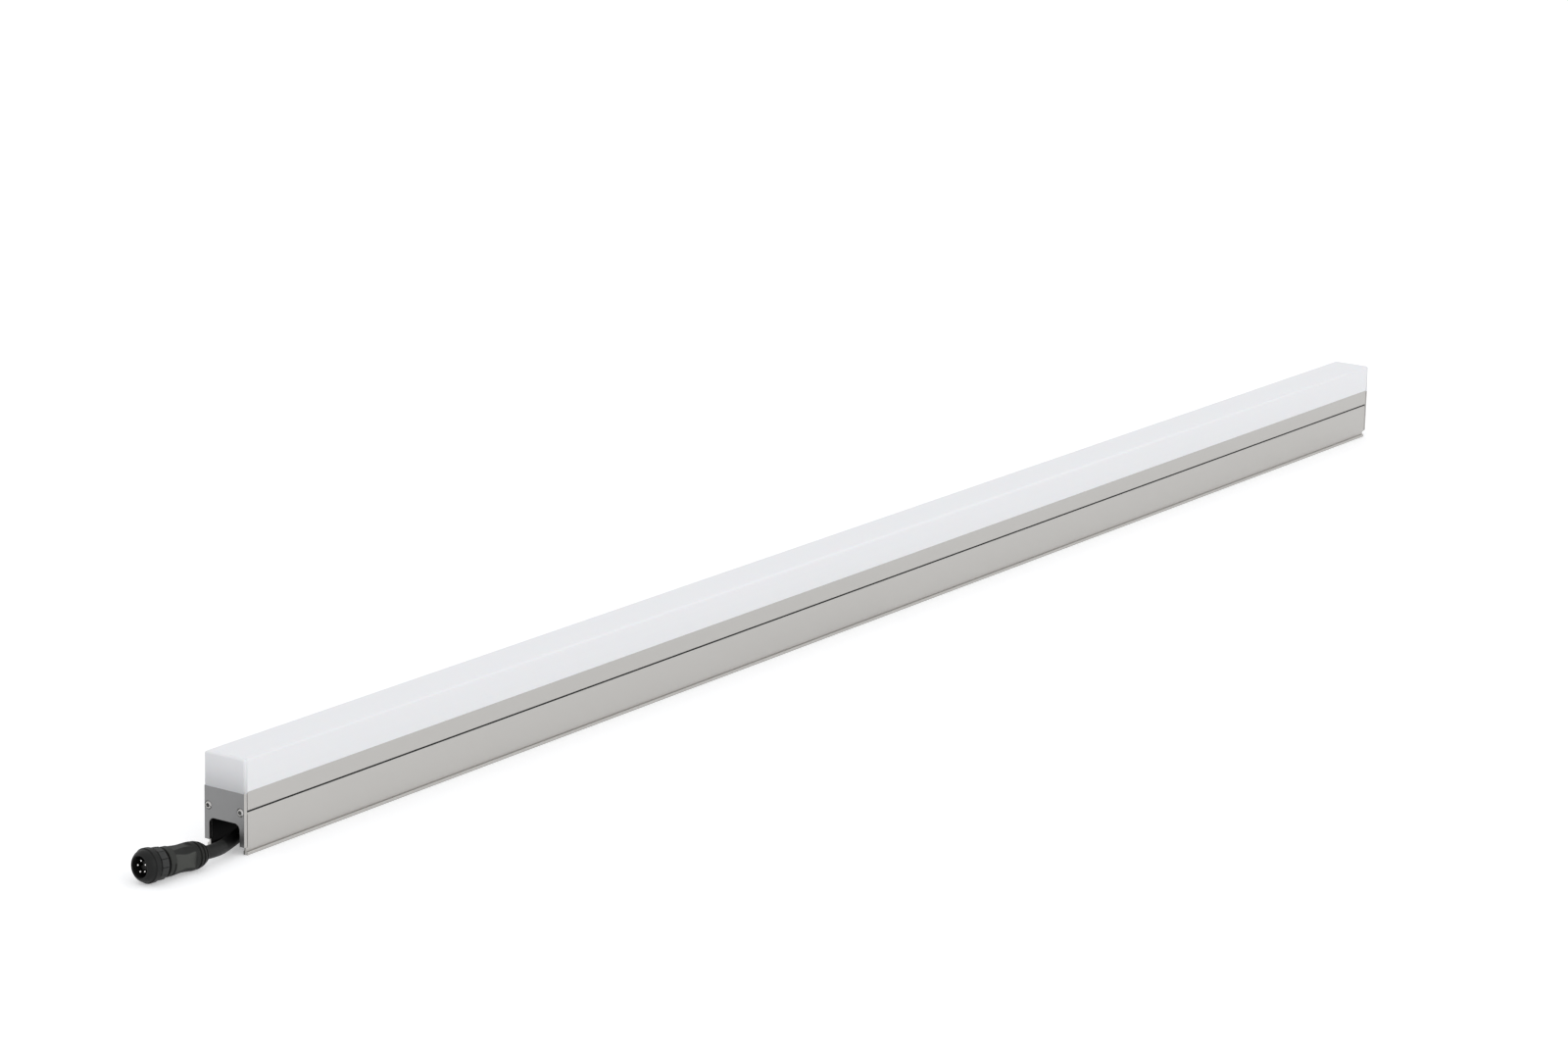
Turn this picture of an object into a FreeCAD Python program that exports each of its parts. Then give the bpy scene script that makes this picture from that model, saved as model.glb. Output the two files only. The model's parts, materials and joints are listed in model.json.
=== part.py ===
"""Outdoor linear wall washer light: extruded bar, opal cover, five-pole lead.

Frame: X runs along the bar (the lead leaves at -X), Y across it, Z up.
The origin is at the bottom centre of the bar, on the surface it rests on.
All sizes are in millimetres and angles in degrees.
"""
import FreeCAD, Part
import math
import os
import re

import Sketcher

Vector = FreeCAD.Vector
CLOSE = 1e-3             # two lengths nearer than this are the same
doc = FreeCAD.newDocument("WallWasher")

# ---------------------------------------------------------------- driving sizes
SIZES = {
    # the bar as a whole
    "BarLength": 1000,       # over the two end plates
    "BarWidth": 22,
    "BarHeight": 42,
    # the extruded housing, from its feet upwards
    "FootHeight": 1.6,       # bead that the mounting clips grip
    "FootWall": 2.3,
    "FootLead": 0.4,         # slope at the top of the bead, inside
    "FootRound": 0.4,
    "NeckHeight": 1.8,
    "NeckInset": 0.9,
    "SkirtWall": 1.9,
    "ChannelHeight": 15,     # underside of the web over the cable channel
    "ChannelCorner": 1.0,
    "WebThick": 1.6,
    "DuctHeight": 6.8,       # wire duct between the web and the shelf
    "DuctWall": 1.6,
    "ShelfThick": 1.4,       # shelf that carries the light boards
    "TrayDepth": 2.9,        # from the shelf to the top edge of the metal
    "RimWall": 1.3,
    "SnapDepth": 0.4,        # slot in the rim that holds the cover's hooks
    "SnapHeight": 0.9,
    "SnapBelow": 1.2,
    "SnapFit": 0.1,
    "GrooveLow": 17.9,       # decorative groove along each side
    "GrooveHeight": 1.7,
    "GrooveDepth": 0.85,
    # end plates, gaskets and their screws
    "PlateThick": 1.6,
    "PlateBelow": 0.6,       # from the top edge of the metal
    "PlateEdge": 0.35,
    "LegBottom": 3.8,
    "LegWidth": 2.7,
    "ArchBelow": 1.5,        # under the web
    "ArchCorner": 2.6,
    "GasketThick": 0.4,
    "GasketInset": 0.25,
    "ScrewInset": 2.25,      # from the side of the bar
    "ScrewRise": 2.1,        # above the floor of the duct
    "ScrewRadius": 0.95,
    "ScrewFit": 0.05,
    "ScrewReach": 9,
    "HeadRadius": 1.75,
    "HeadHeight": 1.2,
    "HeadFit": 0.1,
    "SocketWidth": 1.4,
    "SocketDepth": 0.7,
    "CounterDepth": 0.8,
    "PortBoss": 2.1,         # metal around each screw port
    # opal cover and its end caps
    "CoverWall": 1.6,
    "CoverCorner": 1.2,
    "HookWall": 1.2,
    "HookFoot": 0.2,
    "HookRoot": 1.0,
    "CapEdge": 1.0,
    "CapSpigot": 3,
    "CapFit": 0.15,
    # light boards
    "TapeThick": 0.25,
    "TapeInset": 0.3,
    "BoardThick": 1.6,
    "BoardMargin": 0.6,      # between a board and the cover's hooks
    "BoardInset": 9.95,      # from the end of the bar
    "BoardGap": 0.3,
    "BoardCount": 4,
    "LedCount": 12,          # on each board
    "LedSide": 5,
    "LedHeight": 1.5,
    "ChipLength": 4.9,
    "ChipWidth": 3.9,
    "ChipHeight": 1.5,
    "LinkLength": 9,
    "LinkWidth": 7,
    "LinkHeight": 2.2,
    # cable outlets under the web
    "OutletInset": 32,       # from the end of the bar to the vertical axis
    "OutletReach": 9,        # from that axis to the mouth
    "OutletAxis": 6,         # height of the mouth
    "ThreadRadius": 4,
    "ThreadFit": 0.1,
    "ThreadEnd": 0.7,        # thread that stands out of the nut
    "StemStep": 0.6,
    "FlangeStep": 2.0,
    "FlangeThick": 1.4,
    "WasherThick": 1.0,
    "WasherInset": 0.5,
    "NutWidth": 11,
    "NutThick": 2.3,
    "MouthWall": 1.0,
    "RibDepth": 0.5,
    # lead and its cores
    "CordDiameter": 5.8,
    "CoreDiameter": 1.0,
    "CorePitch": 1.15,
    "CoreCount": 5,
    "CoreBend": 1.6,
    "CoreBelow": 2.0,        # under the shelf
    "CoreInset": 3.4,        # rise of the cores, from the gasket
    "CoreLap": 3.05,         # over the edge of the first board
    "CoreRest": 0.05,
    "NotchMargin": 1.7,
    # plug, measured from its front rim along its axis
    "PlugReach": 54.4,       # from the end of the bar to the rim
    "PlugSide": 1.8,
    "PlugHeading": 7,        # turned from the bar's axis
    "PlugTilt": 3.3,         # nose up, as it rests on collar and body
    "InsertRadius": 3.4,
    "InsertFit": 0.05,
    "SpigotWall": 0.4,
    "NeckStep": 0.25,
    "RunningFit": 0.08,
    "EndPlay": 0.1,
    "SnapStep": 0.5,         # snap collar over the neck
    "SnapWidth": 0.8,
    "SnapLead": 0.2,
    "SnapPlay": 0.2,         # snap collar inside the nut's bore
    "LipThick": 0.7,
    "GripWall": 2.25,
    "GripLength": 3.7,
    "GripFacets": 12,
    "CollarStep": 0.4,
    "NoseLength": 3.2,       # dome in front of the collar
    "NoseStep": 0.5,
    "CollarLength": 2.6,
    "CollarGap": 0.9,
    "GapDepth": 0.75,        # under the grip
    "MouthStep": 0.4,        # thread crests inside the bore
    "MouthDepth": 4.6,
    "FlangeLength": 2.4,     # running flange at the rear of the nut
    "SealPlay": 0.1,
    "SealSet": 0.7,
    "SpigotLip": 1.4,
    "InsertProud": 1.2,
    "InsertLength": 8.6,
    "PinRadius": 0.5,
    "PinFit": 0.03,
    "PinMargin": 0.4,
    "PinFront": 1.1,
    "PinCount": 5,
    "PinTurn": 104,
    "ShoulderStep": 1.3,
    "ShoulderWidth": 1.4,
    "ShoulderChamfer": 0.3,
    "BodyStep": 1.0,
    "BodyRise": 2.7,
    "BodyLength": 12.2,
    "WaistDip": 0.55,
    "HipDip": 0.3,
    "FlatMargin": 0.8,
    "SideFlatCut": 1.25,
    "TopFlatCut": 1.05,
    "TailLength": 7.7,
    "TailWall": 1.0,
    "TailGroove": 0.5,
}

sheet = doc.addObject("Spreadsheet::Sheet", "Sizes")
for row, (name, size) in enumerate(SIZES.items(), start=1):
    sheet.set("A%d" % row, name)
    sheet.set("B%d" % row, str(size))
    sheet.setAlias("B%d" % row, name)
doc.recompute()


# ---------------------------------------------------------------- drawing helpers
def bound(expression):
    """Write the sheet's name before each capitalised size name."""
    return re.sub(r"\b([A-Z][A-Za-z]+)\b", r"Sizes.\1", expression)


def number(expression):
    return float(sheet.evalExpression(bound(expression)))


def new_body(label):
    body = doc.addObject("PartDesign::Body", label)
    body.Label = label
    return body


def origin_item(body, role):
    return next(item for item in body.Origin.OriginFeatures if item.Role == role)


def new_sketch(body, role, lift="0", rise="0"):
    """A sketch on one of the body's origin planes, lifted along its normal."""
    sketch = body.newObject("Sketcher::SketchObject", body.Name + "_sketch")
    sketch.AttachmentSupport = [(origin_item(body, role), "")]
    sketch.MapMode = "FlatFace"
    sketch.setExpression(".AttachmentOffset.Base.z", bound(lift))
    sketch.setExpression(".AttachmentOffset.Base.y", bound(rise))
    return sketch


def pin_point(sketch, geometry, end, corner):
    """Hold one point of the sketch at a pair of expressions."""
    for kind, expression in zip(("DistanceX", "DistanceY"), corner):
        constraint = Sketcher.Constraint(kind, -1, 1, geometry, end, number(expression))
        index = sketch.addConstraint(constraint)
        sketch.setExpression("Constraints[%d]" % index, bound(expression))


def draw_outline(sketch, corners, closed=True):
    """Lines through the corners; a corner marked 'via' is the middle of an arc."""
    points = [Vector(number(corner[0]), number(corner[1]), 0) for corner in corners]
    count = len(corners)
    stops = [i for i in range(count) if len(corners[i]) == 2]
    edges = []
    for start, end in zip(stops, stops[1:] + stops[:1]):
        if not closed and end < start:
            break
        middle = (start + 1) % count
        if middle == end:
            index = sketch.addGeometry(Part.LineSegment(points[start], points[end]))
            edges.append((index, 1, 2, start, end))
            continue
        chord = points[end] - points[start]
        clockwise = chord.cross(points[middle] - points[start]).z > 0
        ends = (end, start) if clockwise else (start, end)
        index = sketch.addGeometry(Part.Arc(points[ends[0]], points[middle], points[ends[1]]))
        first, last = (2, 1) if clockwise else (1, 2)
        edges.append((index, first, last, start, end))
        via = sketch.addGeometry(Part.Point(points[middle]), True)
        pin_point(sketch, via, 1, corners[middle])
        sketch.addConstraint(Sketcher.Constraint("PointOnObject", via, 1, index))
    for edge, following in zip(edges, edges[1:] + edges[:1]):
        if edge[4] == following[3]:
            joint = Sketcher.Constraint("Coincident", edge[0], edge[2], following[0], following[1])
            sketch.addConstraint(joint)
        pin_point(sketch, edge[0], edge[1], corners[edge[3]])
    if not closed:
        pin_point(sketch, edges[-1][0], edges[-1][2], corners[edges[-1][4]])
    return sketch


def draw_circle(sketch, across, up, radius):
    centre = Vector(number(across), number(up), 0)
    index = sketch.addGeometry(Part.Circle(centre, Vector(0, 0, 1), number(radius)))
    pin_point(sketch, index, 3, (across, up))
    size = sketch.addConstraint(Sketcher.Constraint("Radius", index, number(radius)))
    sketch.setExpression("Constraints[%d]" % size, bound(radius))
    return sketch


def draw_box(sketch, left, low, right, high):
    return draw_outline(sketch, [(left, low), (right, low), (right, high), (left, high)])


def draw_polygon(sketch, sides, reach, across, up, turn=0):
    """A regular polygon whose corners lie at one distance from its middle."""
    corners = []
    for side in range(sides):
        angle = "%.4f" % (360 * side / sides + turn)
        corners.append(("%s + %s * cos(%s)" % (across, reach, angle),
                        "%s + %s * sin(%s)" % (up, reach, angle)))
    return draw_outline(sketch, corners)


def mirrored_outline(half):
    """A half outline on the +Y side, continued by its mirror image."""
    other = []
    for corner in reversed(half):
        other.append(("-(" + corner[0] + ")",) + tuple(corner[1:]))
    return half + other


def add_pad(body, sketch, length, middle=False):
    feature = body.newObject("PartDesign::Pad", body.Name + "_pad")
    feature.Profile = sketch
    feature.setExpression("Length", bound(length))
    if middle:
        feature.Midplane = True
    doc.recompute()
    return feature


def add_pocket(body, sketch, length, name):
    """Cut the sketch's outline out of the body, upwards along the sketch's normal."""
    before = body.Tip.Shape.Volume
    feature = body.newObject("PartDesign::Pocket", body.Name + "_" + name)
    feature.Profile = sketch
    feature.Reversed = True
    feature.setExpression("Length", bound(length))
    doc.recompute()
    if feature.Shape.Volume > before - CLOSE:
        raise RuntimeError(feature.Name + " cuts nothing")
    return feature


def add_revolution(body, sketch, axis="H_Axis"):
    feature = body.newObject("PartDesign::Revolution", body.Name + "_turn")
    feature.Profile = sketch
    feature.ReferenceAxis = (sketch, [axis])
    feature.Angle = 360
    doc.recompute()
    return feature


def round_edges(body, radius, wanted):
    """Round the edges whose middle point the test accepts."""
    base = body.Tip
    names = []
    for index, edge in enumerate(base.Shape.Edges, start=1):
        first, last = edge.ParameterRange
        if wanted(edge, edge.valueAt((first + last) / 2)):
            names.append("Edge%d" % index)
    if not names:
        raise RuntimeError(body.Name + " has no such edge")
    feature = body.newObject("PartDesign::Fillet", body.Name + "_round")
    feature.Base = (base, names)
    feature.setExpression("Radius", bound(radius))
    doc.recompute()
    return feature


def near(value, expression):
    return abs(value - number(expression)) < CLOSE


def along(edge, axis):
    """True for a straight edge along one axis of the body."""
    if not isinstance(edge.Curve, Part.Line):
        return False
    return abs(edge.Curve.Direction.dot(axis)) > 0.999


X_AXIS = Vector(1, 0, 0)
Z_AXIS = Vector(0, 0, 1)


def add_row(body, feature, axis_role, length, count, middle=False):
    """Repeat a feature in a straight row along an axis of the body."""
    row_feature = body.newObject("PartDesign::LinearPattern", body.Name + "_row")
    row_feature.Originals = [feature]
    row_feature.Direction = (origin_item(body, axis_role), [""])
    row_feature.setExpression("Length", bound(length))
    row_feature.setExpression("Occurrences", bound(count))
    body.Tip = row_feature
    doc.recompute()
    return row_feature


def add_polar(body, features, count):
    """Repeat features around the body's X axis."""
    polar = body.newObject("PartDesign::PolarPattern", body.Name + "_ring")
    polar.Originals = features
    polar.Axis = (origin_item(body, "X_Axis"), [""])
    polar.Angle = 360
    polar.setExpression("Occurrences", bound(count))
    body.Tip = polar
    doc.recompute()
    return polar


def place(body, across="0", side="0", up="0", yaw="0", pitch="0"):
    base = "vector(%s; %s; %s)" % (across, side, up)
    turn = "rotation(%s; %s; 0)" % (yaw, pitch)
    body.setExpression("Placement", bound("placement(%s; %s)" % (base, turn)))
    doc.recompute()


# Sizes that follow from the driving ones
HALF_WIDTH = "BarWidth / 2"
END_DEPTH = "(PlateThick + GasketThick)"
NECK_TOP = "(FootHeight + NeckHeight)"
DUCT_FLOOR = "(ChannelHeight + WebThick)"
DUCT_TOP = "(%s + DuctHeight)" % DUCT_FLOOR
SHELF_TOP = "(%s + ShelfThick)" % DUCT_TOP
SEAM = "(%s + TrayDepth)" % SHELF_TOP
SNAP_HIGH = "(%s - SnapBelow)" % SEAM
SNAP_LOW = "(%s - SnapHeight)" % SNAP_HIGH
PLATE_TOP = "(%s - PlateBelow)" % SEAM
SCREW_SIDE = "(BarWidth / 2 - ScrewInset)"
SCREW_UP = "(%s + ScrewRise)" % DUCT_FLOOR
ARCH_TOP = "(ChannelHeight - ArchBelow)"
HOOK_SIDE = "(BarWidth / 2 - RimWall - SnapFit)"
HOOK_INNER = "(%s - HookWall)" % HOOK_SIDE

BOARD_BASE = "(%s + TapeThick)" % SHELF_TOP
BOARD_TOP = "(%s + BoardThick)" % BOARD_BASE
BOARD_SIDE = "(%s - BoardMargin)" % HOOK_INNER
BOARD_ROW = "(BarLength - 2 * BoardInset)"
BOARD_LENGTH = "((%s - (BoardCount - 1) * BoardGap) / BoardCount)" % BOARD_ROW
BOARD_STEP = "(%s + BoardGap)" % BOARD_LENGTH
LED_PITCH = "(%s / LedCount)" % BOARD_LENGTH

FLANGE_TOP = "(ChannelHeight - WasherThick)"
STEM_RADIUS = "(ThreadRadius + StemStep)"
FLANGE_RADIUS = "(%s + FlangeStep)" % STEM_RADIUS
MOUTH_RADIUS = "(CordDiameter / 2 + MouthWall)"
RIB_RADIUS = "(%s + %s) / 2" % (STEM_RADIUS, MOUTH_RADIUS)
THREAD_TOP = "(%s + NutThick + ThreadEnd)" % DUCT_FLOOR
CORE_SPAN = "((CoreCount - 1) * CorePitch)"

SPIGOT_RADIUS = "(InsertRadius + InsertFit + SpigotWall)"
NECK_RADIUS = "(%s + NeckStep)" % SPIGOT_RADIUS
SNAP_RADIUS = "(%s + SnapStep)" % NECK_RADIUS
BORE_RADIUS = "(%s + SnapPlay)" % SNAP_RADIUS
MOUTH_BORE = "(%s - MouthStep)" % BORE_RADIUS
LIP_RADIUS = "(%s + LipThick)" % MOUTH_BORE
GRIP_RADIUS = "(%s + GripWall)" % BORE_RADIUS
COLLAR_RADIUS = "(%s + CollarStep)" % GRIP_RADIUS
DOME_RADIUS = "(%s - NoseStep)" % COLLAR_RADIUS
GAP_RADIUS = "(%s - GapDepth)" % GRIP_RADIUS
SEAL_TUBE = "((%s - %s - SealPlay) / 2)" % (BORE_RADIUS, SPIGOT_RADIUS)
SHOULDER_RADIUS = "(%s + ShoulderStep)" % NECK_RADIUS
BODY_RADIUS = "(%s + BodyStep)" % SHOULDER_RADIUS
HIP_RADIUS = "(%s - HipDip)" % BODY_RADIUS
TAIL_RADIUS = "(CordDiameter / 2 + TailWall)"

COLLAR_END = "(NoseLength + CollarLength)"
GRIP_START = "(%s + CollarGap)" % COLLAR_END
NUT_LENGTH = "(%s + GripLength)" % GRIP_START
BORE_DEPTH = "(%s - FlangeLength)" % NUT_LENGTH
SNAP_REAR = "(%s - EndPlay)" % BORE_DEPTH
SNAP_FRONT = "(%s - SnapWidth)" % SNAP_REAR
SEAL_AT = "(%s - SealSet)" % SNAP_FRONT
SPIGOT_FRONT = "(%s - SpigotLip)" % SEAL_AT
INSERT_FRONT = "(%s - InsertProud)" % SPIGOT_FRONT
INSERT_REAR = "(%s + InsertLength)" % INSERT_FRONT
SHOULDER = "(%s + EndPlay)" % NUT_LENGTH
BODY_START = "(%s + ShoulderWidth)" % SHOULDER
BODY_PEAK = "(%s + BodyRise)" % BODY_START
HIP_AT = "(%s + BodyLength)" % BODY_PEAK
PLUG_LENGTH = "(%s + TailLength)" % HIP_AT

# The two ends are mirror images. Their pieces are drawn with x = 0 on the
# outside of the end plate and +x into the bar, and then put at each end.
ENDS = {
    "near": {"across": "-BarLength / 2", "yaw": "0"},
    "far": {"across": "BarLength / 2", "yaw": "180"},
}
PLUG_PLACE = {
    "across": "-BarLength / 2 - PlugReach",
    "side": "-PlugSide",
    "up": "%s * cos(PlugTilt) + %s * sin(PlugTilt)" % (COLLAR_RADIUS, COLLAR_END),
    "yaw": "-PlugHeading",
    "pitch": "PlugTilt",
}


# ---------------------------------------------------------------- housing
def make_housing():
    """Extruded aluminium section: clip feet, cable channel, wire duct, board tray."""
    body = new_body("housing")
    wall = "BarWidth / 2 - SkirtWall"
    foot = "BarWidth / 2 - FootWall"
    neck = "BarWidth / 2 - NeckInset"
    rim = "BarWidth / 2 - RimWall"
    half = [
        (wall, "ChannelHeight"),
        (wall, "FootHeight + FootLead"),
        (foot, "FootHeight"),
        (foot, "0"),
        (HALF_WIDTH, "0"),
        (HALF_WIDTH, "FootHeight"),
        (neck, "FootHeight"),
        (neck, NECK_TOP),
        (HALF_WIDTH, NECK_TOP),
        (HALF_WIDTH, "GrooveLow"),
        ("BarWidth / 2 - GrooveDepth", "GrooveLow + GrooveHeight"),
        (HALF_WIDTH, "GrooveLow + GrooveHeight"),
        (HALF_WIDTH, SEAM),
        (rim, SEAM),
        (rim, SNAP_HIGH),
        (rim + " + SnapDepth", SNAP_HIGH),
        (rim + " + SnapDepth", SNAP_LOW),
        (rim, SNAP_LOW),
        (rim, SHELF_TOP),
    ]
    duct_side = "BarWidth / 2 - DuctWall"
    boss = SCREW_SIDE + " - PortBoss"
    duct = [
        (boss, DUCT_FLOOR),
        (boss, SCREW_UP + " + PortBoss / 3"),
        (SCREW_SIDE + " - PortBoss / 3", SCREW_UP + " + PortBoss"),
        (duct_side, SCREW_UP + " + PortBoss"),
        (duct_side, DUCT_TOP),
    ]
    sketch = new_sketch(body, "YZ_Plane")
    draw_outline(sketch, mirrored_outline(half))
    draw_outline(sketch, mirrored_outline(duct))
    screw_holes(sketch, "ScrewRadius + ScrewFit")
    add_pad(body, sketch, "BarLength - 2 * " + END_DEPTH, middle=True)
    round_edges(body, "ChannelCorner", lambda edge, at: along(edge, X_AXIS)
                and near(abs(at.y), wall) and near(at.z, "ChannelHeight"))
    round_edges(body, "FootRound", lambda edge, at: along(edge, X_AXIS)
                and near(abs(at.y), HALF_WIDTH) and at.z < number("FootHeight") + CLOSE)
    cut_outlet_holes(body)
    cut_core_notches(body)
    place(body)


def cut_outlet_holes(body):
    """A hole through the web for the threaded stem of each cable outlet."""
    sketch = new_sketch(body, "XY_Plane", lift="ChannelHeight - WebThick")
    for sign in ("", "-"):
        draw_circle(sketch, sign + "(BarLength / 2 - OutletInset)", "0",
                    "ThreadRadius + ThreadFit")
    add_pocket(body, sketch, "3 * WebThick", "holes")


def cut_core_notches(body):
    """A notch in each end of the shelf, where the wire cores rise to the boards."""
    width = "(%s + CoreDiameter + 2 * NotchMargin)" % CORE_SPAN
    for sign in ("", "-"):
        end = sign + "(BarLength / 2)"
        inner = "%s(BarLength / 2 - %s - 2 * CoreInset)" % (sign, END_DEPTH)
        sketch = new_sketch(body, "XY_Plane", lift=DUCT_TOP + " - ShelfThick")
        draw_box(sketch, end, "-%s / 2" % width, inner, "%s / 2" % width)
        add_pocket(body, sketch, "3 * ShelfThick", "notch")


# ---------------------------------------------------------------- opal cover
def rounded_top(width, low, high, radius):
    """Half outline from the bottom corner round the top corner to the middle."""
    bulge = "(%s) * (1 - sqrt(0.5))" % radius
    return [
        (width, low),
        (width, "%s - (%s)" % (high, radius)),
        ("%s - %s" % (width, bulge), "%s - %s" % (high, bulge), "via"),
        ("%s - (%s)" % (width, radius), high),
    ]


def make_diffuser():
    """Opal cover: box section with snap hooks that drop inside the metal rim."""
    body = new_body("diffuser")
    inner = "BarWidth / 2 - CoverWall"
    barb = HOOK_SIDE + " + SnapDepth"
    inside = rounded_top(inner, SEAM + " + 2 * HookRoot", "BarHeight - CoverWall",
                         "CoverCorner / 2")
    outside = rounded_top(HALF_WIDTH, SEAM, "BarHeight", "CoverCorner")
    hooks = [
        (HOOK_INNER, SEAM + " + HookRoot"),
        (HOOK_INNER, SHELF_TOP + " + HookFoot"),
        (HOOK_SIDE, SHELF_TOP + " + HookFoot"),
        (HOOK_SIDE, SNAP_LOW),
        (barb, "(%s + %s) / 2" % (SNAP_LOW, SNAP_HIGH)),
        (barb, SNAP_HIGH + " - SnapFit"),
        (HOOK_SIDE, SNAP_HIGH + " - SnapFit"),
        (HOOK_SIDE, SEAM),
    ]
    half = list(reversed(inside)) + hooks + outside
    sketch = draw_outline(new_sketch(body, "YZ_Plane"), mirrored_outline(half))
    add_pad(body, sketch, "BarLength - 2 * " + END_DEPTH, middle=True)
    place(body)


def make_end_cap(end, where):
    """Opal cap: a flange flush with the end plate and a spigot inside the cover."""
    body = new_body(end + "_end_cap")
    flange = mirrored_outline(rounded_top(HALF_WIDTH, PLATE_TOP, "BarHeight", "CoverCorner"))
    add_pad(body, draw_outline(new_sketch(body, "YZ_Plane"), flange), END_DEPTH)
    round_edges(body, "CapEdge", lambda edge, at: near(at.x, "0")
                and at.z > number(PLATE_TOP) + CLOSE)
    spigot = "BarWidth / 2 - CoverWall - CapFit"
    half = rounded_top(spigot, SEAM + " + 2 * HookRoot + CapFit",
                       "BarHeight - CoverWall - CapFit", "CoverCorner / 2")
    sketch = draw_outline(new_sketch(body, "YZ_Plane", lift="PlateThick"),
                          mirrored_outline(half))
    add_pad(body, sketch, "GasketThick + CapSpigot")
    place(body, **where)


# ---------------------------------------------------------------- end plates
def plate_outline(inset):
    """Plate with an arch for the cables, drawn in by a margin all round."""
    side = "BarWidth / 2 - " + inset
    arch = "BarWidth / 2 - LegWidth + " + inset
    half = [
        (side, PLATE_TOP + " - " + inset),
        (side, "LegBottom + " + inset),
        (arch, "LegBottom + " + inset),
        (arch, ARCH_TOP + " + " + inset),
    ]
    return mirrored_outline(half)


def round_arch(body, inset):
    arch = "BarWidth / 2 - LegWidth + " + inset
    round_edges(body, "ArchCorner", lambda edge, at: along(edge, X_AXIS)
                and near(abs(at.y), arch) and near(at.z, ARCH_TOP + " + " + inset))


def screw_holes(sketch, radius):
    for sign in ("", "-"):
        draw_circle(sketch, sign + SCREW_SIDE, SCREW_UP, radius)
    return sketch


def make_end_plate(end, where):
    """Aluminium plate with an open arch, two holes and a sunk seat for each head."""
    body = new_body(end + "_end_plate")
    sketch = draw_outline(new_sketch(body, "YZ_Plane"), plate_outline("0"))
    add_pad(body, sketch, "PlateThick")
    round_arch(body, "0")
    round_edges(body, "PlateEdge", lambda edge, at: near(at.x, "0")
                and along(edge, Z_AXIS) and near(abs(at.y), HALF_WIDTH))
    hole = screw_holes(new_sketch(body, "YZ_Plane"), "ScrewRadius + 2 * ScrewFit")
    add_pocket(body, hole, "2 * PlateThick", "holes")
    seat = screw_holes(new_sketch(body, "YZ_Plane"), "HeadRadius + HeadFit")
    add_pocket(body, seat, "CounterDepth", "seats")
    place(body, **where)


def make_gasket(end, where):
    """Thin rubber gasket between the end plate and the housing."""
    body = new_body(end + "_gasket")
    sketch = draw_outline(new_sketch(body, "YZ_Plane", lift="PlateThick"),
                          plate_outline("GasketInset"))
    add_pad(body, sketch, "GasketThick")
    round_arch(body, "GasketInset")
    hole = screw_holes(new_sketch(body, "YZ_Plane", lift="PlateThick / 2"),
                       "ScrewRadius + 2 * ScrewFit")
    add_pocket(body, hole, "PlateThick", "holes")
    place(body, **where)


def make_plate_screws(end, where):
    """Two button-head screws with hexagon sockets, turned into the ports."""
    body = new_body(end + "_plate_screws")
    crown = "(CounterDepth - HeadHeight)"
    profile = [
        (crown, "0"),
        (crown, "HeadRadius / 2"),
        (crown + " + HeadHeight / 5", "HeadRadius * 5 / 6"),
        ("CounterDepth - HeadHeight / 4", "HeadRadius"),
        ("CounterDepth", "HeadRadius"),
        ("CounterDepth", "ScrewRadius"),
        ("ScrewReach - ScrewRadius", "ScrewRadius"),
        ("ScrewReach", "ScrewRadius / 3"),
        ("ScrewReach", "0"),
    ]
    sketch = new_sketch(body, "XZ_Plane", lift="-" + SCREW_SIDE, rise=SCREW_UP)
    shaft = add_revolution(body, draw_outline(sketch, profile))
    socket = draw_polygon(new_sketch(body, "YZ_Plane", lift=crown), 6,
                          "SocketWidth / sqrt(3)", SCREW_SIDE, SCREW_UP, turn=30)
    recess = add_pocket(body, socket, "SocketDepth", "socket")
    pair = body.newObject("PartDesign::Mirrored", body.Name + "_pair")
    pair.Originals = [shaft, recess]
    pair.MirrorPlane = (origin_item(body, "XZ_Plane"), [""])
    body.Tip = pair
    place(body, **where)


# ---------------------------------------------------------------- light boards
def board_middle(index):
    return "(%d - (BoardCount - 1) / 2) * %s" % (index, BOARD_STEP)


def make_thermal_tape():
    """Heat-conducting tape between the shelf and all the boards."""
    body = new_body("thermal_tape")
    side = BOARD_SIDE + " - TapeInset"
    sketch = new_sketch(body, "XY_Plane", lift=SHELF_TOP)
    draw_box(sketch, "-%s / 2" % BOARD_ROW, "-(%s)" % side, "%s / 2" % BOARD_ROW, side)
    add_pad(body, sketch, "TapeThick")
    place(body)


def make_light_board(index):
    """One metal-core board."""
    body = new_body("light_board_%d" % (index + 1))
    sketch = new_sketch(body, "XY_Plane", lift=BOARD_BASE)
    draw_box(sketch, "-%s / 2" % BOARD_LENGTH, "-" + BOARD_SIDE,
             "%s / 2" % BOARD_LENGTH, BOARD_SIDE)
    add_pad(body, sketch, "BoardThick")
    place(body, across=board_middle(index))


def make_leds(index):
    """The row of square light packages on one board, each with a corner mark."""
    body = new_body("leds_%d" % (index + 1))
    first = "-(LedCount - 1) / 2 * " + LED_PITCH
    side = "LedSide / 2"
    mark = "LedSide / 6"
    sketch = new_sketch(body, "XY_Plane", lift=BOARD_TOP)
    draw_outline(sketch, [
        ("%s - %s" % (first, side), "-" + side),
        ("%s + %s" % (first, side), "-" + side),
        ("%s + %s" % (first, side), side),
        ("%s - %s + %s" % (first, side, mark), side),
        ("%s - %s" % (first, side), "%s - %s" % (side, mark)),
    ])
    package = add_pad(body, sketch, "LedHeight")
    add_row(body, package, "X_Axis", "(LedCount - 1) * " + LED_PITCH, "LedCount")
    place(body, across=board_middle(index))


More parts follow.
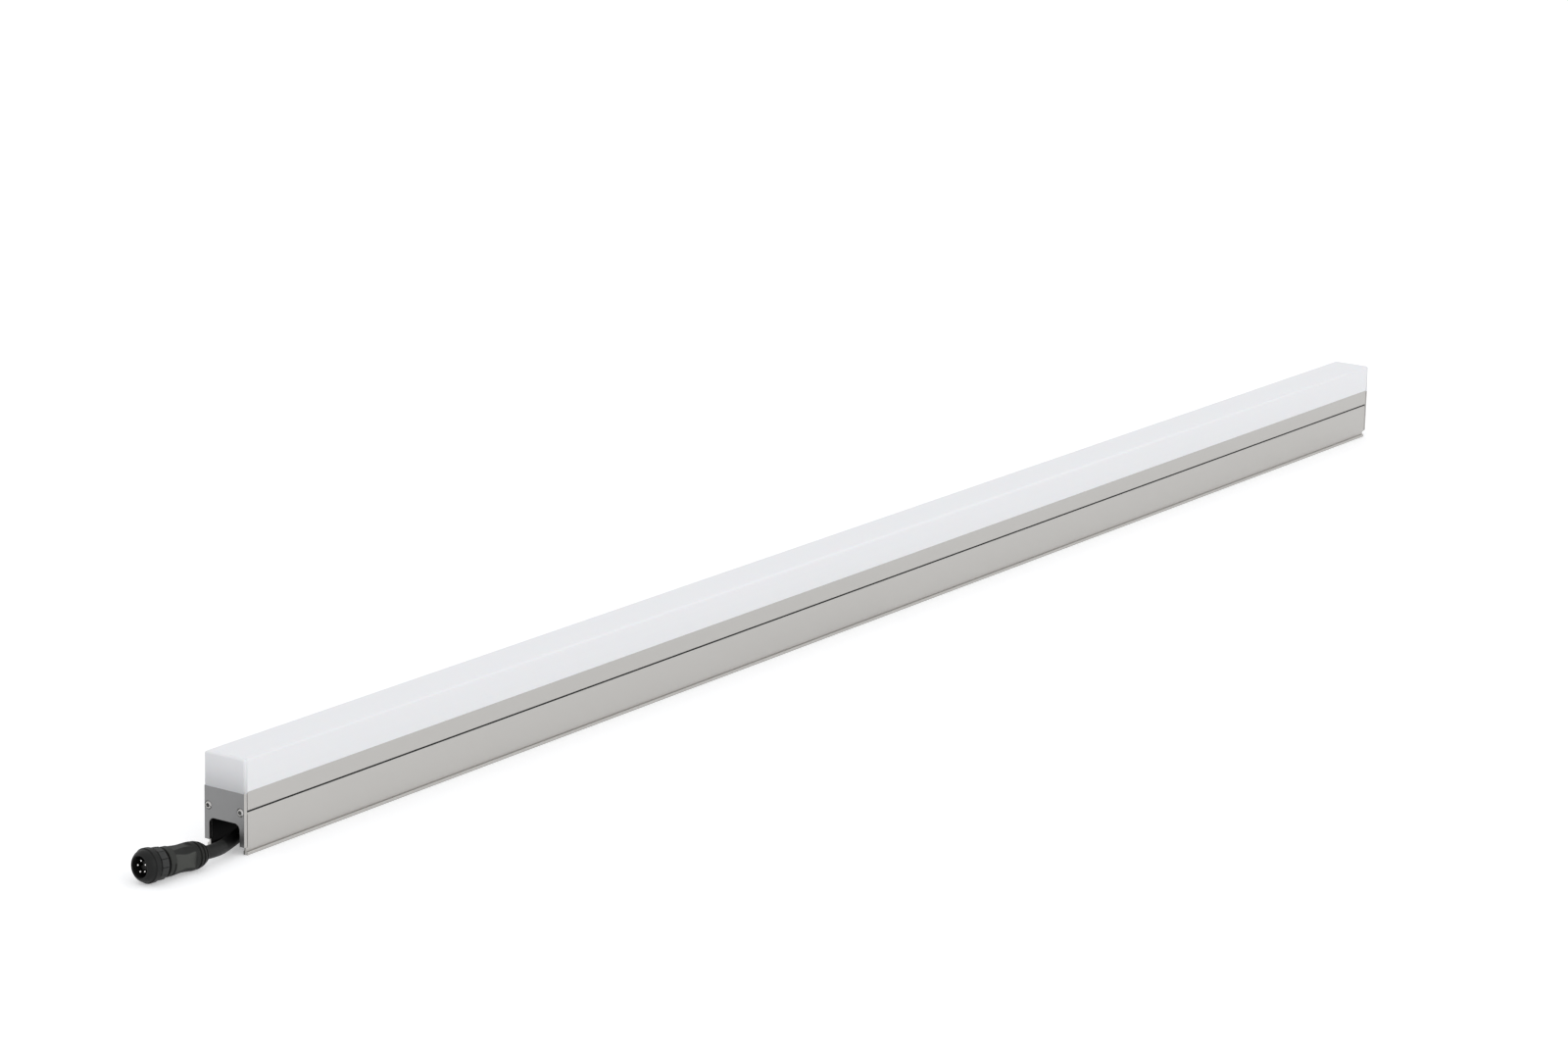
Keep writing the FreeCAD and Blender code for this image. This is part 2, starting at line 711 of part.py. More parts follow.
def make_control_chips(index):
    """Three driver chips, each half way between two light packages."""
    body = new_body("control_chips_%d" % (index + 1))
    middle = "(floor(LedCount / 2) - LedCount / 2) * " + LED_PITCH
    step = "floor(LedCount / 4) * " + LED_PITCH
    sketch = new_sketch(body, "XY_Plane", lift=BOARD_TOP)
    draw_box(sketch, "%s - %s - ChipLength / 2" % (middle, step), "-ChipWidth / 2",
             "%s - %s + ChipLength / 2" % (middle, step), "ChipWidth / 2")
    chip = add_pad(body, sketch, "ChipHeight")
    add_row(body, chip, "X_Axis", "2 * " + step, "3")
    place(body, across=board_middle(index))


def make_board_links():
    """A bridge connector over each joint between two boards."""
    body = new_body("board_links")
    first = "-(BoardCount - 2) / 2 * " + BOARD_STEP
    sketch = new_sketch(body, "XY_Plane", lift=BOARD_TOP)
    draw_box(sketch, "%s - LinkLength / 2" % first, "-LinkWidth / 2",
             "%s + LinkLength / 2" % first, "LinkWidth / 2")
    link = add_pad(body, sketch, "LinkHeight")
    add_row(body, link, "X_Axis", "(BoardCount - 2) * " + BOARD_STEP, "BoardCount - 1")
    place(body)


# ---------------------------------------------------------------- cable outlets
def make_outlet(end, where):
    """Moulded right-angle outlet: threaded stem up through the web, ribbed mouth."""
    body = new_body(end + "_cable_outlet")
    round_end = STEM_RADIUS + " * sqrt(0.5)"
    stem = [
        ("0", "OutletAxis - " + STEM_RADIUS),
        (round_end, "OutletAxis - " + round_end, "via"),
        (STEM_RADIUS, "OutletAxis"),
        (STEM_RADIUS, FLANGE_TOP + " - FlangeThick"),
        (FLANGE_RADIUS, FLANGE_TOP + " - FlangeThick"),
        (FLANGE_RADIUS, FLANGE_TOP),
        ("ThreadRadius", FLANGE_TOP),
        ("ThreadRadius", THREAD_TOP),
        ("0", THREAD_TOP),
    ]
    upright = new_sketch(body, "XZ_Plane")
    add_revolution(body, draw_outline(upright, stem), axis="V_Axis")
    barrel = [("0", "0"), ("0", STEM_RADIUS)]
    step = "(OutletReach - %s) / 4" % STEM_RADIUS
    for turn, before, after in ((1, STEM_RADIUS, RIB_RADIUS), (3, RIB_RADIUS, MOUTH_RADIUS)):
        start = "-%s - %d * %s" % (STEM_RADIUS, turn, step)
        end_of_groove = "%s - %s" % (start, step)
        barrel += [
            (start, before),
            (start, before + " - RibDepth"),
            (end_of_groove, before + " - RibDepth"),
            (end_of_groove, after),
        ]
    barrel[-1] = ("-OutletReach", MOUTH_RADIUS + " - RibDepth")
    barrel.append(("-OutletReach", "0"))
    level = new_sketch(body, "XZ_Plane", rise="OutletAxis")
    add_revolution(body, draw_outline(level, barrel))
    if end == "far":
        cut_outlet_bore(body)
    place_outlet(body, where)


def cut_outlet_bore(body):
    """The empty bore that takes the outgoing lead."""
    bore = new_sketch(body, "YZ_Plane", lift="-OutletReach")
    draw_circle(bore, "0", "OutletAxis", "CordDiameter / 2 + ThreadFit")
    add_pocket(body, bore, "OutletReach", "bore")


def place_outlet(body, where):
    inward = "OutletInset" if where["yaw"] == "0" else "-OutletInset"
    place(body, across="%s + %s" % (where["across"], inward), yaw=where["yaw"])


def make_outlet_washer(end, where):
    """Rubber washer squeezed between the flange and the web."""
    body = new_body(end + "_outlet_washer")
    sketch = new_sketch(body, "XY_Plane", lift=FLANGE_TOP)
    draw_circle(sketch, "0", "0", FLANGE_RADIUS + " - WasherInset")
    draw_circle(sketch, "0", "0", "ThreadRadius + ThreadFit")
    add_pad(body, sketch, "WasherThick")
    place_outlet(body, where)


def make_outlet_nut(end, where):
    """Hexagon locknut on the stem, inside the wire duct."""
    body = new_body(end + "_outlet_nut")
    sketch = new_sketch(body, "XY_Plane", lift=DUCT_FLOOR)
    draw_polygon(sketch, 6, "NutWidth / sqrt(3)", "0", "0")
    draw_circle(sketch, "0", "0", "ThreadRadius + ThreadFit / 2")
    add_pad(body, sketch, "NutThick")
    place_outlet(body, where)


def make_lead_cores(where):
    """Five insulated cores from the outlet stem to the pads of the first board."""
    body = new_body("lead_cores")
    bulge = "CoreBend * (1 - sqrt(0.5))"
    run = DUCT_TOP + " - CoreBelow"
    rise = END_DEPTH + " + CoreInset"
    landing = BOARD_TOP + " + CoreDiameter / 2 + CoreRest"
    path = [
        ("OutletInset", THREAD_TOP),
        ("OutletInset", run + " - CoreBend"),
        ("OutletInset - " + bulge, "%s - %s" % (run, bulge), "via"),
        ("OutletInset - CoreBend", run),
        (rise + " + CoreBend", run),
        ("%s + %s" % (rise, bulge), "%s + %s" % (run, bulge), "via"),
        (rise, run + " + CoreBend"),
        (rise, landing + " - CoreBend"),
        ("%s + %s" % (rise, bulge), "%s - %s" % (landing, bulge), "via"),
        (rise + " + CoreBend", landing),
        ("BoardInset + CoreLap", landing),
    ]
    side = CORE_SPAN + " / 2"
    spine = new_sketch(body, "XZ_Plane", lift=side)
    draw_outline(spine, path, closed=False)
    section = new_sketch(body, "XY_Plane", lift=THREAD_TOP)
    draw_polygon(section, 8, "CoreDiameter / 2", "OutletInset", "-" + side)
    doc.recompute()
    pipe = body.newObject("PartDesign::AdditivePipe", "lead_cores_pipe")
    pipe.Profile = section
    pipe.Spine = (spine, ["Edge%d" % (i + 1) for i in range(len(spine.Shape.Edges))])
    doc.recompute()
    add_row(body, pipe, "Y_Axis", CORE_SPAN, "CoreCount")
    place(body, **where)


# ---------------------------------------------------------------- plug
def make_plug_body():
    """Moulded plug: bearing neck, body with a waist and flats, ribbed tail."""
    body = new_body("plug_body")
    bore = "InsertRadius + InsertFit"
    profile = [
        (SPIGOT_FRONT, bore),
        (SPIGOT_FRONT, SPIGOT_RADIUS),
        (SNAP_FRONT, SPIGOT_RADIUS),
        (SNAP_FRONT, SNAP_RADIUS + " - SnapLead"),
        (SNAP_FRONT + " + SnapLead", SNAP_RADIUS),
        (SNAP_REAR, SNAP_RADIUS),
        (SNAP_REAR, NECK_RADIUS),
        (SHOULDER, NECK_RADIUS),
        (SHOULDER, SHOULDER_RADIUS),
        (BODY_START, SHOULDER_RADIUS),
        (BODY_START, BODY_RADIUS + " - ShoulderChamfer"),
        (BODY_START + " + ShoulderChamfer", BODY_RADIUS),
        (BODY_PEAK, BODY_RADIUS),
        ("(%s + %s) / 2" % (BODY_PEAK, HIP_AT), BODY_RADIUS + " - WaistDip", "via"),
        (HIP_AT, HIP_RADIUS),
    ]
    profile += tail_ribs()
    profile += [
        (PLUG_LENGTH, TAIL_RADIUS),
        (PLUG_LENGTH, "0"),
        (INSERT_REAR, "0"),
        (INSERT_REAR, bore),
    ]
    sketch = draw_outline(new_sketch(body, "XZ_Plane"), profile)
    add_revolution(body, sketch)
    cut_flats(body, "%s - SideFlatCut" % BODY_RADIUS, across=True)
    cut_flats(body, "%s - TopFlatCut" % BODY_RADIUS, across=False)
    place(body, **PLUG_PLACE)


TAIL_RIBS = 3
TAIL_CURVE = 2.6


def tail_ribs():
    """Grooves that follow the tail's rounded shape down to the cable."""
    corners = []
    drop = "(%s - %s)" % (HIP_RADIUS, TAIL_RADIUS)
    for rib in range(TAIL_RIBS):
        for step, depth in ((0.55, "0"), (0.55, "TailGroove"), (1.0, "TailGroove"), (1.0, "0")):
            share = (rib + step) / (TAIL_RIBS + 0.45)
            corners.append(("%s + TailLength * %.4f" % (HIP_AT, share),
                            "%s - %s * %.4f - %s" % (HIP_RADIUS, drop, share ** TAIL_CURVE, depth)))
    return corners


def cut_flats(body, distance, across):
    """A flat on two opposite sides of the plug body."""
    sketch = new_sketch(body, "YZ_Plane", lift=BODY_PEAK + " + FlatMargin")
    reach = "(2 * %s)" % BODY_RADIUS
    for sign in ("", "-"):
        inner = "%s(%s)" % (sign, distance)
        outer = sign + reach
        if across:
            draw_box(sketch, inner, "-" + reach, outer, reach)
        else:
            draw_box(sketch, "-" + reach, inner, reach, outer)
    add_pocket(body, sketch, "BodyLength - 2 * FlatMargin", "flats")


def make_coupling_nut():
    """Coupling nut: domed nose, smooth collar, faceted grip, running flange."""
    body = new_body("coupling_nut")
    rise = "(%s - %s)" % (DOME_RADIUS, LIP_RADIUS)
    nose = "((NoseLength * NoseLength + %s * %s) / 2 / %s)" % (rise, rise, rise)
    half_turn = "(asin(NoseLength / %s) / 2)" % nose
    profile = [
        ("LipThick", MOUTH_BORE),
        ("0", LIP_RADIUS),
        ("NoseLength - %s * sin%s" % (nose, half_turn),
         "%s - %s * (1 - cos%s)" % (DOME_RADIUS, nose, half_turn), "via"),
        ("NoseLength", DOME_RADIUS),
        ("NoseLength", COLLAR_RADIUS),
        (COLLAR_END, COLLAR_RADIUS),
        (COLLAR_END, GAP_RADIUS),
        (GRIP_START, GAP_RADIUS),
        (GRIP_START, GRIP_RADIUS),
        (NUT_LENGTH, GRIP_RADIUS),
        (NUT_LENGTH, NECK_RADIUS + " + RunningFit"),
        (BORE_DEPTH, NECK_RADIUS + " + RunningFit"),
        (BORE_DEPTH, BORE_RADIUS),
        ("MouthDepth", BORE_RADIUS),
        ("MouthDepth", MOUTH_BORE),
    ]
    add_revolution(body, draw_outline(new_sketch(body, "XZ_Plane"), profile))
    ring = new_sketch(body, "YZ_Plane", lift=GRIP_START)
    draw_circle(ring, "0", "0", "2 * " + GRIP_RADIUS)
    draw_polygon(ring, int(number("GripFacets")), GRIP_RADIUS, "0", "0")
    add_pocket(body, ring, "2 * GripLength", "facets")
    place(body, **PLUG_PLACE)


def pin_centre():
    circle = "(InsertRadius - PinRadius - PinMargin)"
    return "-%s * cos(PinTurn)" % circle, "%s * sin(PinTurn)" % circle


def make_plug_insert():
    """Insulating carrier that holds the pins."""
    body = new_body("plug_insert")
    sketch = draw_circle(new_sketch(body, "YZ_Plane", lift=INSERT_FRONT),
                         "0", "0", "InsertRadius")
    add_pad(body, sketch, "InsertLength")
    hole = new_sketch(body, "YZ_Plane", lift=INSERT_FRONT)
    draw_circle(hole, *pin_centre(), "PinRadius + PinFit")
    add_polar(body, [add_pocket(body, hole, "InsertLength", "hole")], "PinCount")
    place(body, **PLUG_PLACE)


def make_plug_pins():
    """Round contact pins that stand free inside the coupling nut."""
    body = new_body("plug_pins")
    side, up = pin_centre()
    shaft = draw_circle(new_sketch(body, "YZ_Plane", lift="PinFront"), side, up, "PinRadius")
    add_polar(body, [add_pad(body, shaft, INSERT_REAR + " - PinFront")], "PinCount")
    place(body, **PLUG_PLACE)


def make_plug_seal():
    """Rubber ring on the spigot, which the mating half presses on."""
    body = new_body("plug_seal")
    sketch = new_sketch(body, "XZ_Plane")
    draw_polygon(sketch, 8, SEAL_TUBE, SEAL_AT, "%s + %s" % (SPIGOT_RADIUS, SEAL_TUBE))
    add_revolution(body, sketch)
    place(body, **PLUG_PLACE)


# ---------------------------------------------------------------- lead
def plug_point(distance):
    """A point on the plug's axis, in the bar's frame."""
    return doc.getObject("plug_body").Placement.multVec(Vector(distance, 0, 0))


LEAD_EXIT = 8.0


def cord_route():
    """From the plug's tail to the mouth of the near outlet."""
    bar_end = number("-BarLength / 2")
    mouth = Vector(number("-BarLength / 2 + OutletInset - OutletReach"), 0, number("OutletAxis"))
    return [
        plug_point(number(PLUG_LENGTH)),
        plug_point(number(PLUG_LENGTH) + LEAD_EXIT),
        Vector(bar_end - 1.0, -2.9, 4.8),
        Vector(bar_end + 12.5, 0, mouth.z),
        mouth,
    ]


def rounded_path(points, share=0.45):
    """Straight runs joined by tangent arcs as large as the runs allow."""
    edges = []
    start = points[0]
    for before, corner, after in zip(points, points[1:], points[2:]):
        back = (before - corner).normalize()
        ahead = (after - corner).normalize()
        setback = share * min((corner - before).Length, (after - corner).Length)
        half_turn = (math.pi - back.getAngle(ahead)) / 2
        radius = setback / math.tan(half_turn)
        print("lead bend radius %.1f mm" % radius)
        first = corner + back * setback
        last = corner + ahead * setback
        inward = (back + ahead).normalize()
        middle = corner + inward * (radius / math.cos(half_turn) - radius)
        edges.append(Part.LineSegment(start, first).toShape())
        edges.append(Part.Arc(first, middle, last).toShape())
        start = last
    edges.append(Part.LineSegment(start, points[-1]).toShape())
    return Part.Wire(edges)


def make_lead():
    """Free part of the cable, a round tube along its route."""
    route = cord_route()
    wire = rounded_path(route)
    radius = number("CordDiameter / 2")
    section = Part.Wire(Part.Circle(route[0], route[1] - route[0], radius).toShape())
    tube = wire.makePipeShell([section], True, False)
    expected = math.pi * radius ** 2 * wire.Length
    print("lead length %.2f mm, volume %.1f of %.1f" % (wire.Length, tube.Volume, expected))
    feature = doc.addObject("Part::Feature", "lead")
    feature.Label = "lead"
    feature.Shape = tube


# ---------------------------------------------------------------- the whole light
make_housing()
make_diffuser()
for end, where in ENDS.items():
    make_end_cap(end, where)
    make_end_plate(end, where)
    make_gasket(end, where)
    make_plate_screws(end, where)
    make_outlet(end, where)
    make_outlet_washer(end, where)
    make_outlet_nut(end, where)
make_thermal_tape()
for board in range(int(number("BoardCount"))):
    make_light_board(board)
    make_leds(board)
    make_control_chips(board)
make_board_links()
make_lead_cores(ENDS["near"])
make_plug_body()
make_coupling_nut()
make_plug_insert()
make_plug_pins()
make_plug_seal()
make_lead()
doc.recompute()


# ---------------------------------------------------------------- tests and files
sub_parts = [item for item in doc.Objects
             if item.TypeId == "PartDesign::Body" or item.Name == "lead"]
for item in doc.Objects:
    if "Invalid" in item.State or "Error" in item.State:
        raise RuntimeError("%s failed: %s" % (item.Name, item.State))
for item in sub_parts:
    if item.Shape.isNull() or not item.Shape.isValid():
        raise RuntimeError(item.Label + " has no valid shape")

os.makedirs("parts", exist_ok=True)
for item in sub_parts:
    item.Shape.exportStep("parts/%s.step" % item.Label)
    print("%-20s %3d solids %12.2f mm3" % (item.Label, len(item.Shape.Solids), item.Shape.Volume))
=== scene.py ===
# %% [markdown]
# # A linear wall washer light
#
# The object is a one-metre outdoor light bar: an aluminium extrusion with an opal plastic
# cover, a screwed metal plate at each end, and a short black lead with a round five-pole plug.
# The measured model is loaded first and stays as it is. Everything below dresses it: some
# pieces are finer copies of the measured ones, and some, such as the plug, are modelled anew
# in the same place. Lengths are in metres, and X runs along the bar.

# %% Load the measured frame
import json
import math

import bmesh
import bpy
from mathutils import Matrix, Vector

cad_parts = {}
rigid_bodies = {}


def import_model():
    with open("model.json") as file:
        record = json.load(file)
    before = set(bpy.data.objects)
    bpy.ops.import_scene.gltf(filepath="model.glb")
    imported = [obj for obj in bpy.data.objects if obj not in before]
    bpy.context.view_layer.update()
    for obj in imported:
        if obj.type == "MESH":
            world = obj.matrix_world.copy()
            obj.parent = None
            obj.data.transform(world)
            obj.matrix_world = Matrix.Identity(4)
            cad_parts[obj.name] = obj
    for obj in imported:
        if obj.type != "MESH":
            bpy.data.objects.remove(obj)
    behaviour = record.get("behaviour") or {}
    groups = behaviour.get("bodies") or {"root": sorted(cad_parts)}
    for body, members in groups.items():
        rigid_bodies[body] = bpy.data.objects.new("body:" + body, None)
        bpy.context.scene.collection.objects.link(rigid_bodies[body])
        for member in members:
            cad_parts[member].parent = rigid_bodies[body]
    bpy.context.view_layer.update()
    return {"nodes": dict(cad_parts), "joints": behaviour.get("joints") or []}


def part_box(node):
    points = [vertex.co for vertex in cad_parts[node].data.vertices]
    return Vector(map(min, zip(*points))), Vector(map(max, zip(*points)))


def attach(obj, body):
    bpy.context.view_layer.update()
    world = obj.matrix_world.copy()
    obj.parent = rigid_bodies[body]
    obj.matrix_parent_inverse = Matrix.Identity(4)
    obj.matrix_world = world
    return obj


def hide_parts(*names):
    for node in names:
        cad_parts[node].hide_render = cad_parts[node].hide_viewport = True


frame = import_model()
MM = 0.001
LIGHT, COUPLING = "light", "coupling"

# %% [markdown]
# ## The camera
#
# The photograph was taken with a long lens from a little above one end, so the near end is
# large and the bar runs away to the upper right. A camera is placed by where it stands and by
# three turns: yaw about the vertical, pitch below the horizon, and a slight roll. A matrix
# product keeps the three apart, which Euler angles would mix.

# %% Camera
CAMERA_PLACE = Vector((-1.90802, -1.22912, 0.61426))
CAMERA_YAW, CAMERA_PITCH, CAMERA_ROLL = 34.06, 14.15, 1.327
FOCAL_LENGTH, SENSOR_WIDTH = 107.47, 36


def aimed(yaw, pitch, roll=0):
    """The turn of a camera or lamp that looks along a heading, below the horizon."""
    return (Matrix.Rotation(math.radians(yaw - 90), 4, "Z")
            @ Matrix.Rotation(math.radians(90 - pitch), 4, "X")
            @ Matrix.Rotation(math.radians(roll), 4, "Z"))


def in_scene(name, data):
    """A new object of the given data, at the origin of the scene."""
    made = bpy.data.objects.new(name, data)
    bpy.context.collection.objects.link(made)
    return made


NEAR_END = Vector((-0.5, 0, 0.02))
camera = in_scene("camera", bpy.data.cameras.new("camera"))
camera.data.lens = FOCAL_LENGTH
camera.data.sensor_width = SENSOR_WIDTH
camera.data.clip_start = 0.05
camera.data.clip_end = 60
turned = aimed(CAMERA_YAW, CAMERA_PITCH, CAMERA_ROLL)
camera.matrix_world = Matrix.Translation(CAMERA_PLACE) @ turned
bpy.context.scene.camera = camera
bpy.context.scene.view_settings.view_transform = "Standard"
print("camera", round((CAMERA_PLACE - NEAR_END).length, 3), "m from the near end")

# %% [markdown]
# ## The lead
#
# A cable is flexible, so it is drawn as one smooth curve through the air rather than as bent
# pipe. A NURBS spline of order three touches its end points and stays inside the corners
# between, which is how a short stiff cable lies. The points are the same as the solid's.

# %% Lead curve
CORD_DIAMETER = 5.8 * MM
TWIST = frame["joints"][0]
RIM = Vector(TWIST["pos_m"])
PLUG_AXIS = Vector(TWIST["axis"])
PLUG_LENGTH = 34.5 * MM
LEAD_EXIT = 8 * MM
MOUTH = Vector((-0.477, 0, 0.006))
route = [
    RIM + PLUG_AXIS * PLUG_LENGTH,
    RIM + PLUG_AXIS * (PLUG_LENGTH + LEAD_EXIT),
    Vector((-0.5010, -0.0029, 0.0048)),
    Vector((-0.4875, 0, MOUTH.z)),
    MOUTH,
]

lead_curve = bpy.data.curves.new("lead_cable", "CURVE")
lead_curve.dimensions = "3D"
lead_curve.bevel_depth = CORD_DIAMETER / 2
lead_curve.bevel_resolution = 12
lead_curve.resolution_u = 24
spline = lead_curve.splines.new("NURBS")
spline.points.add(len(route) - 1)
for control, place in zip(spline.points, route):
    control.co = (*place, 1)
spline.order_u = 3
spline.use_endpoint_u = True
lead = in_scene("lead_cable", lead_curve)
along_points = sum((b - a).length for a, b in zip(route, route[1:]))
print("lead, along its control points:", round(along_points / MM, 1), "mm")

# %% [markdown]
# ## Light, floor and background
#
# Product photographs of this kind are lit by large soft boxes on a white sweep. The world
# gives the even light, one large area lamp gives the direction, and the floor is a pale sheet.
# The background is made white by what the camera ray sees, not by more light on the object.

# %% World
WORLD_STRENGTH = 0.90
SKY_TONE = (0.97, 0.98, 1, 1)
WHITE = (1, 1, 1, 1)
world = bpy.data.worlds.new("studio")
world.use_nodes = True
bpy.context.scene.world = world
sky = world.node_tree
sky.nodes.clear()


def add_node(tree, kind, x=0, y=0, **settings):
    """A node with its settings, laid out so that the tree stays readable."""
    node = tree.nodes.new(kind)
    node.location = (x, y)
    for name, value in settings.items():
        setattr(node, name, value)
    return node


def fill(node, **values):
    """Set a node's inputs by their labels, with an underscore for each space."""
    for label, value in values.items():
        node.inputs[label.replace("_", " ")].default_value = value


def seen_directly(tree):
    """One where a camera, mirror or glass ray looks, nought where light is gathered."""
    path = add_node(tree, "ShaderNodeLightPath", -900, 0)
    glossy = add_node(tree, "ShaderNodeMath", -700, 0, operation="MAXIMUM")
    clear = add_node(tree, "ShaderNodeMath", -500, 0, operation="MAXIMUM")
    tree.links.new(path.outputs["Is Camera Ray"], glossy.inputs[0])
    tree.links.new(path.outputs["Is Glossy Ray"], glossy.inputs[1])
    tree.links.new(glossy.outputs[0], clear.inputs[0])
    tree.links.new(path.outputs["Is Transmission Ray"], clear.inputs[1])
    return clear.outputs[0]


even = add_node(sky, "ShaderNodeBackground", -300, 100)
fill(even, Color=SKY_TONE, Strength=WORLD_STRENGTH)
white = add_node(sky, "ShaderNodeBackground", -300, -100)
fill(white, Color=WHITE, Strength=1)
choice = add_node(sky, "ShaderNodeMixShader", 0, 0)
sky.links.new(seen_directly(sky), choice.inputs[0])
sky.links.new(even.outputs[0], choice.inputs[1])
sky.links.new(white.outputs[0], choice.inputs[2])
sky.links.new(choice.outputs[0], add_node(sky, "ShaderNodeOutputWorld", 200, 0).inputs[0])
print("world strength", WORLD_STRENGTH)

# %% Lamp
LAMP_PLACE = Vector((0.7, -6, 2.6))
LAMP_YAW, LAMP_PITCH = 97, 23
LAMP_SIZE, LAMP_WATTS = 5, 75
lamp = in_scene("side_box", bpy.data.lights.new("side_box", "AREA"))
lamp.data.shape = "SQUARE"
lamp.data.size = LAMP_SIZE
lamp.data.energy = LAMP_WATTS
lamp.matrix_world = Matrix.Translation(LAMP_PLACE) @ aimed(LAMP_YAW, LAMP_PITCH)
print("soft box", LAMP_SIZE, "m wide,", LAMP_WATTS, "W")

# %% Floor
FLOOR_REACH = 14
FLOOR_TONE = 0.80
FLOOR_ROUGHNESS = 0.9
FLOOR_GLOW = 0.36
floor_mesh = bpy.data.meshes.new("floor")
half = FLOOR_REACH / 2
floor_corners = [(-half, -half, 0), (half, -half, 0), (half, half, 0), (-half, half, 0)]
floor_mesh.from_pydata(floor_corners, [], [(0, 1, 2, 3)])
floor = in_scene("floor", floor_mesh)
sweep = bpy.data.materials.new("sweep")
sweep.use_nodes = True
paper = sweep.node_tree.nodes["Principled BSDF"]
fill(paper, Base_Color=(FLOOR_TONE, FLOOR_TONE, FLOOR_TONE, 1), Roughness=FLOOR_ROUGHNESS,
     Emission_Color=WHITE)
glow = add_node(sweep.node_tree, "ShaderNodeMath", -300, -300, operation="MULTIPLY")
glow.inputs[1].default_value = FLOOR_GLOW
sweep.node_tree.links.new(seen_directly(sweep.node_tree), glow.inputs[0])
sweep.node_tree.links.new(glow.outputs[0], paper.inputs["Emission Strength"])
floor_mesh.materials.append(sweep)
print("floor", FLOOR_REACH, "m across")

# %% [markdown]
# ## Surface effects shared by the materials
#
# Two effects come back on several materials, so each is a node group with named inputs.
# `grain` is the fine uneven texture of moulded plastic or blasted metal: it shifts the tone,
# the roughness and the height a little from place to place. `drawn lines` are the faint
# marks that a die leaves along an extrusion, so its noise is stretched along X.

# %% Group: grain
def new_group(name, inputs, outputs):
    """A shader node group with its sockets; returns the tree and its two end nodes."""
    group = bpy.data.node_groups.new(name, "ShaderNodeTree")
    for label, kind, value in inputs:
        socket = group.interface.new_socket(label, in_out="INPUT", socket_type=kind)
        if value is not None:
            socket.default_value = value
    for label, kind in outputs:
        group.interface.new_socket(label, in_out="OUTPUT", socket_type=kind)
    return (group, add_node(group, "NodeGroupInput", -1200, 0),
            add_node(group, "NodeGroupOutput", 900, 0))


FLOAT = "NodeSocketFloat"
COLOUR = "NodeSocketColor"
VECTOR = "NodeSocketVector"
SURFACE_INPUTS = [
    ("Vector", VECTOR, None),
    ("Tone", COLOUR, (0.5, 0.5, 0.5, 1)),
    ("Tone Spread", FLOAT, 0.1),
    ("Roughness", FLOAT, 0.5),
    ("Roughness Spread", FLOAT, 0.1),
    ("Size", FLOAT, 0.001),
]
SURFACE_OUTPUTS = [("Colour", COLOUR), ("Roughness", FLOAT), ("Height", FLOAT)]


def spread_from(group, start, fine, broad, end):
    """Shared tail of a surface group: tone and roughness shift with two noises."""
    links = group.links
    both = add_node(group, "ShaderNodeMath", -200, 100, operation="ADD")
    links.new(fine, both.inputs[0])
    links.new(broad, both.inputs[1])
    centred = add_node(group, "ShaderNodeMath", 0, 100, operation="SUBTRACT")
    links.new(both.outputs[0], centred.inputs[0])
    centred.inputs[1].default_value = 1
    for label, y in (("Tone", 300), ("Roughness", -100)):
        shift = add_node(group, "ShaderNodeMath", 200, y, operation="MULTIPLY_ADD")
        links.new(centred.outputs[0], shift.inputs[0])
        links.new(start.outputs[label + " Spread"], shift.inputs[1])
        if label == "Roughness":
            links.new(start.outputs[label], shift.inputs[2])
            links.new(shift.outputs[0], end.inputs[label])
            continue
        shift.inputs[2].default_value = 1
        tint = add_node(group, "ShaderNodeVectorMath", 450, y, operation="SCALE")
        links.new(start.outputs[label], tint.inputs[0])
        links.new(shift.outputs[0], tint.inputs["Scale"])
        links.new(tint.outputs[0], end.inputs["Colour"])
    links.new(fine, end.inputs["Height"])


def noise_at(group, vector, detail, x, y):
    """The value of a noise texture that is read at the given coordinates."""
    noise = add_node(group, "ShaderNodeTexNoise", x, y)
    group.links.new(vector, noise.inputs["Vector"])
    fill(noise, Scale=1, Detail=detail)
    return noise.outputs["Fac"]


def scaled_vector(group, start, stretch, x, y):
    """The surface's coordinates, in grains rather than metres, drawn out along X."""
    grains = add_node(group, "ShaderNodeVectorMath", x, y, operation="DIVIDE")
    size = add_node(group, "ShaderNodeCombineXYZ", x - 200, y - 150)
    along = add_node(group, "ShaderNodeMath", x - 400, y - 150, operation="MULTIPLY")
    group.links.new(start.outputs["Size"], along.inputs[0])
    along.inputs[1].default_value = stretch
    group.links.new(along.outputs[0], size.inputs["X"])
    group.links.new(start.outputs["Size"], size.inputs["Y"])
    group.links.new(start.outputs["Size"], size.inputs["Z"])
    group.links.new(start.outputs["Vector"], grains.inputs[0])
    group.links.new(size.outputs[0], grains.inputs[1])
    return grains.outputs[0]


def surface_group(name, stretch, detail, broad_scale):
    """Fine noise for the grain, and a much broader one for slow changes of tone."""
    group, start, end = new_group(name, SURFACE_INPUTS, SURFACE_OUTPUTS)
    grains = scaled_vector(group, start, stretch, -800, 0)
    fine = noise_at(group, grains, detail, -500, 200)
    wide = add_node(group, "ShaderNodeVectorMath", -700, -250, operation="SCALE")
    group.links.new(grains, wide.inputs[0])
    fill(wide, Scale=broad_scale)
    broad = noise_at(group, wide.outputs[0], 2, -500, -200)
    spread_from(group, start, fine, broad, end)
    return group


grain = surface_group("grain", stretch=1, detail=4, broad_scale=0.03)
drawn_lines = surface_group("drawn lines", stretch=900, detail=3, broad_scale=0.12)
print("surface groups:", grain.name, "and", drawn_lines.name)

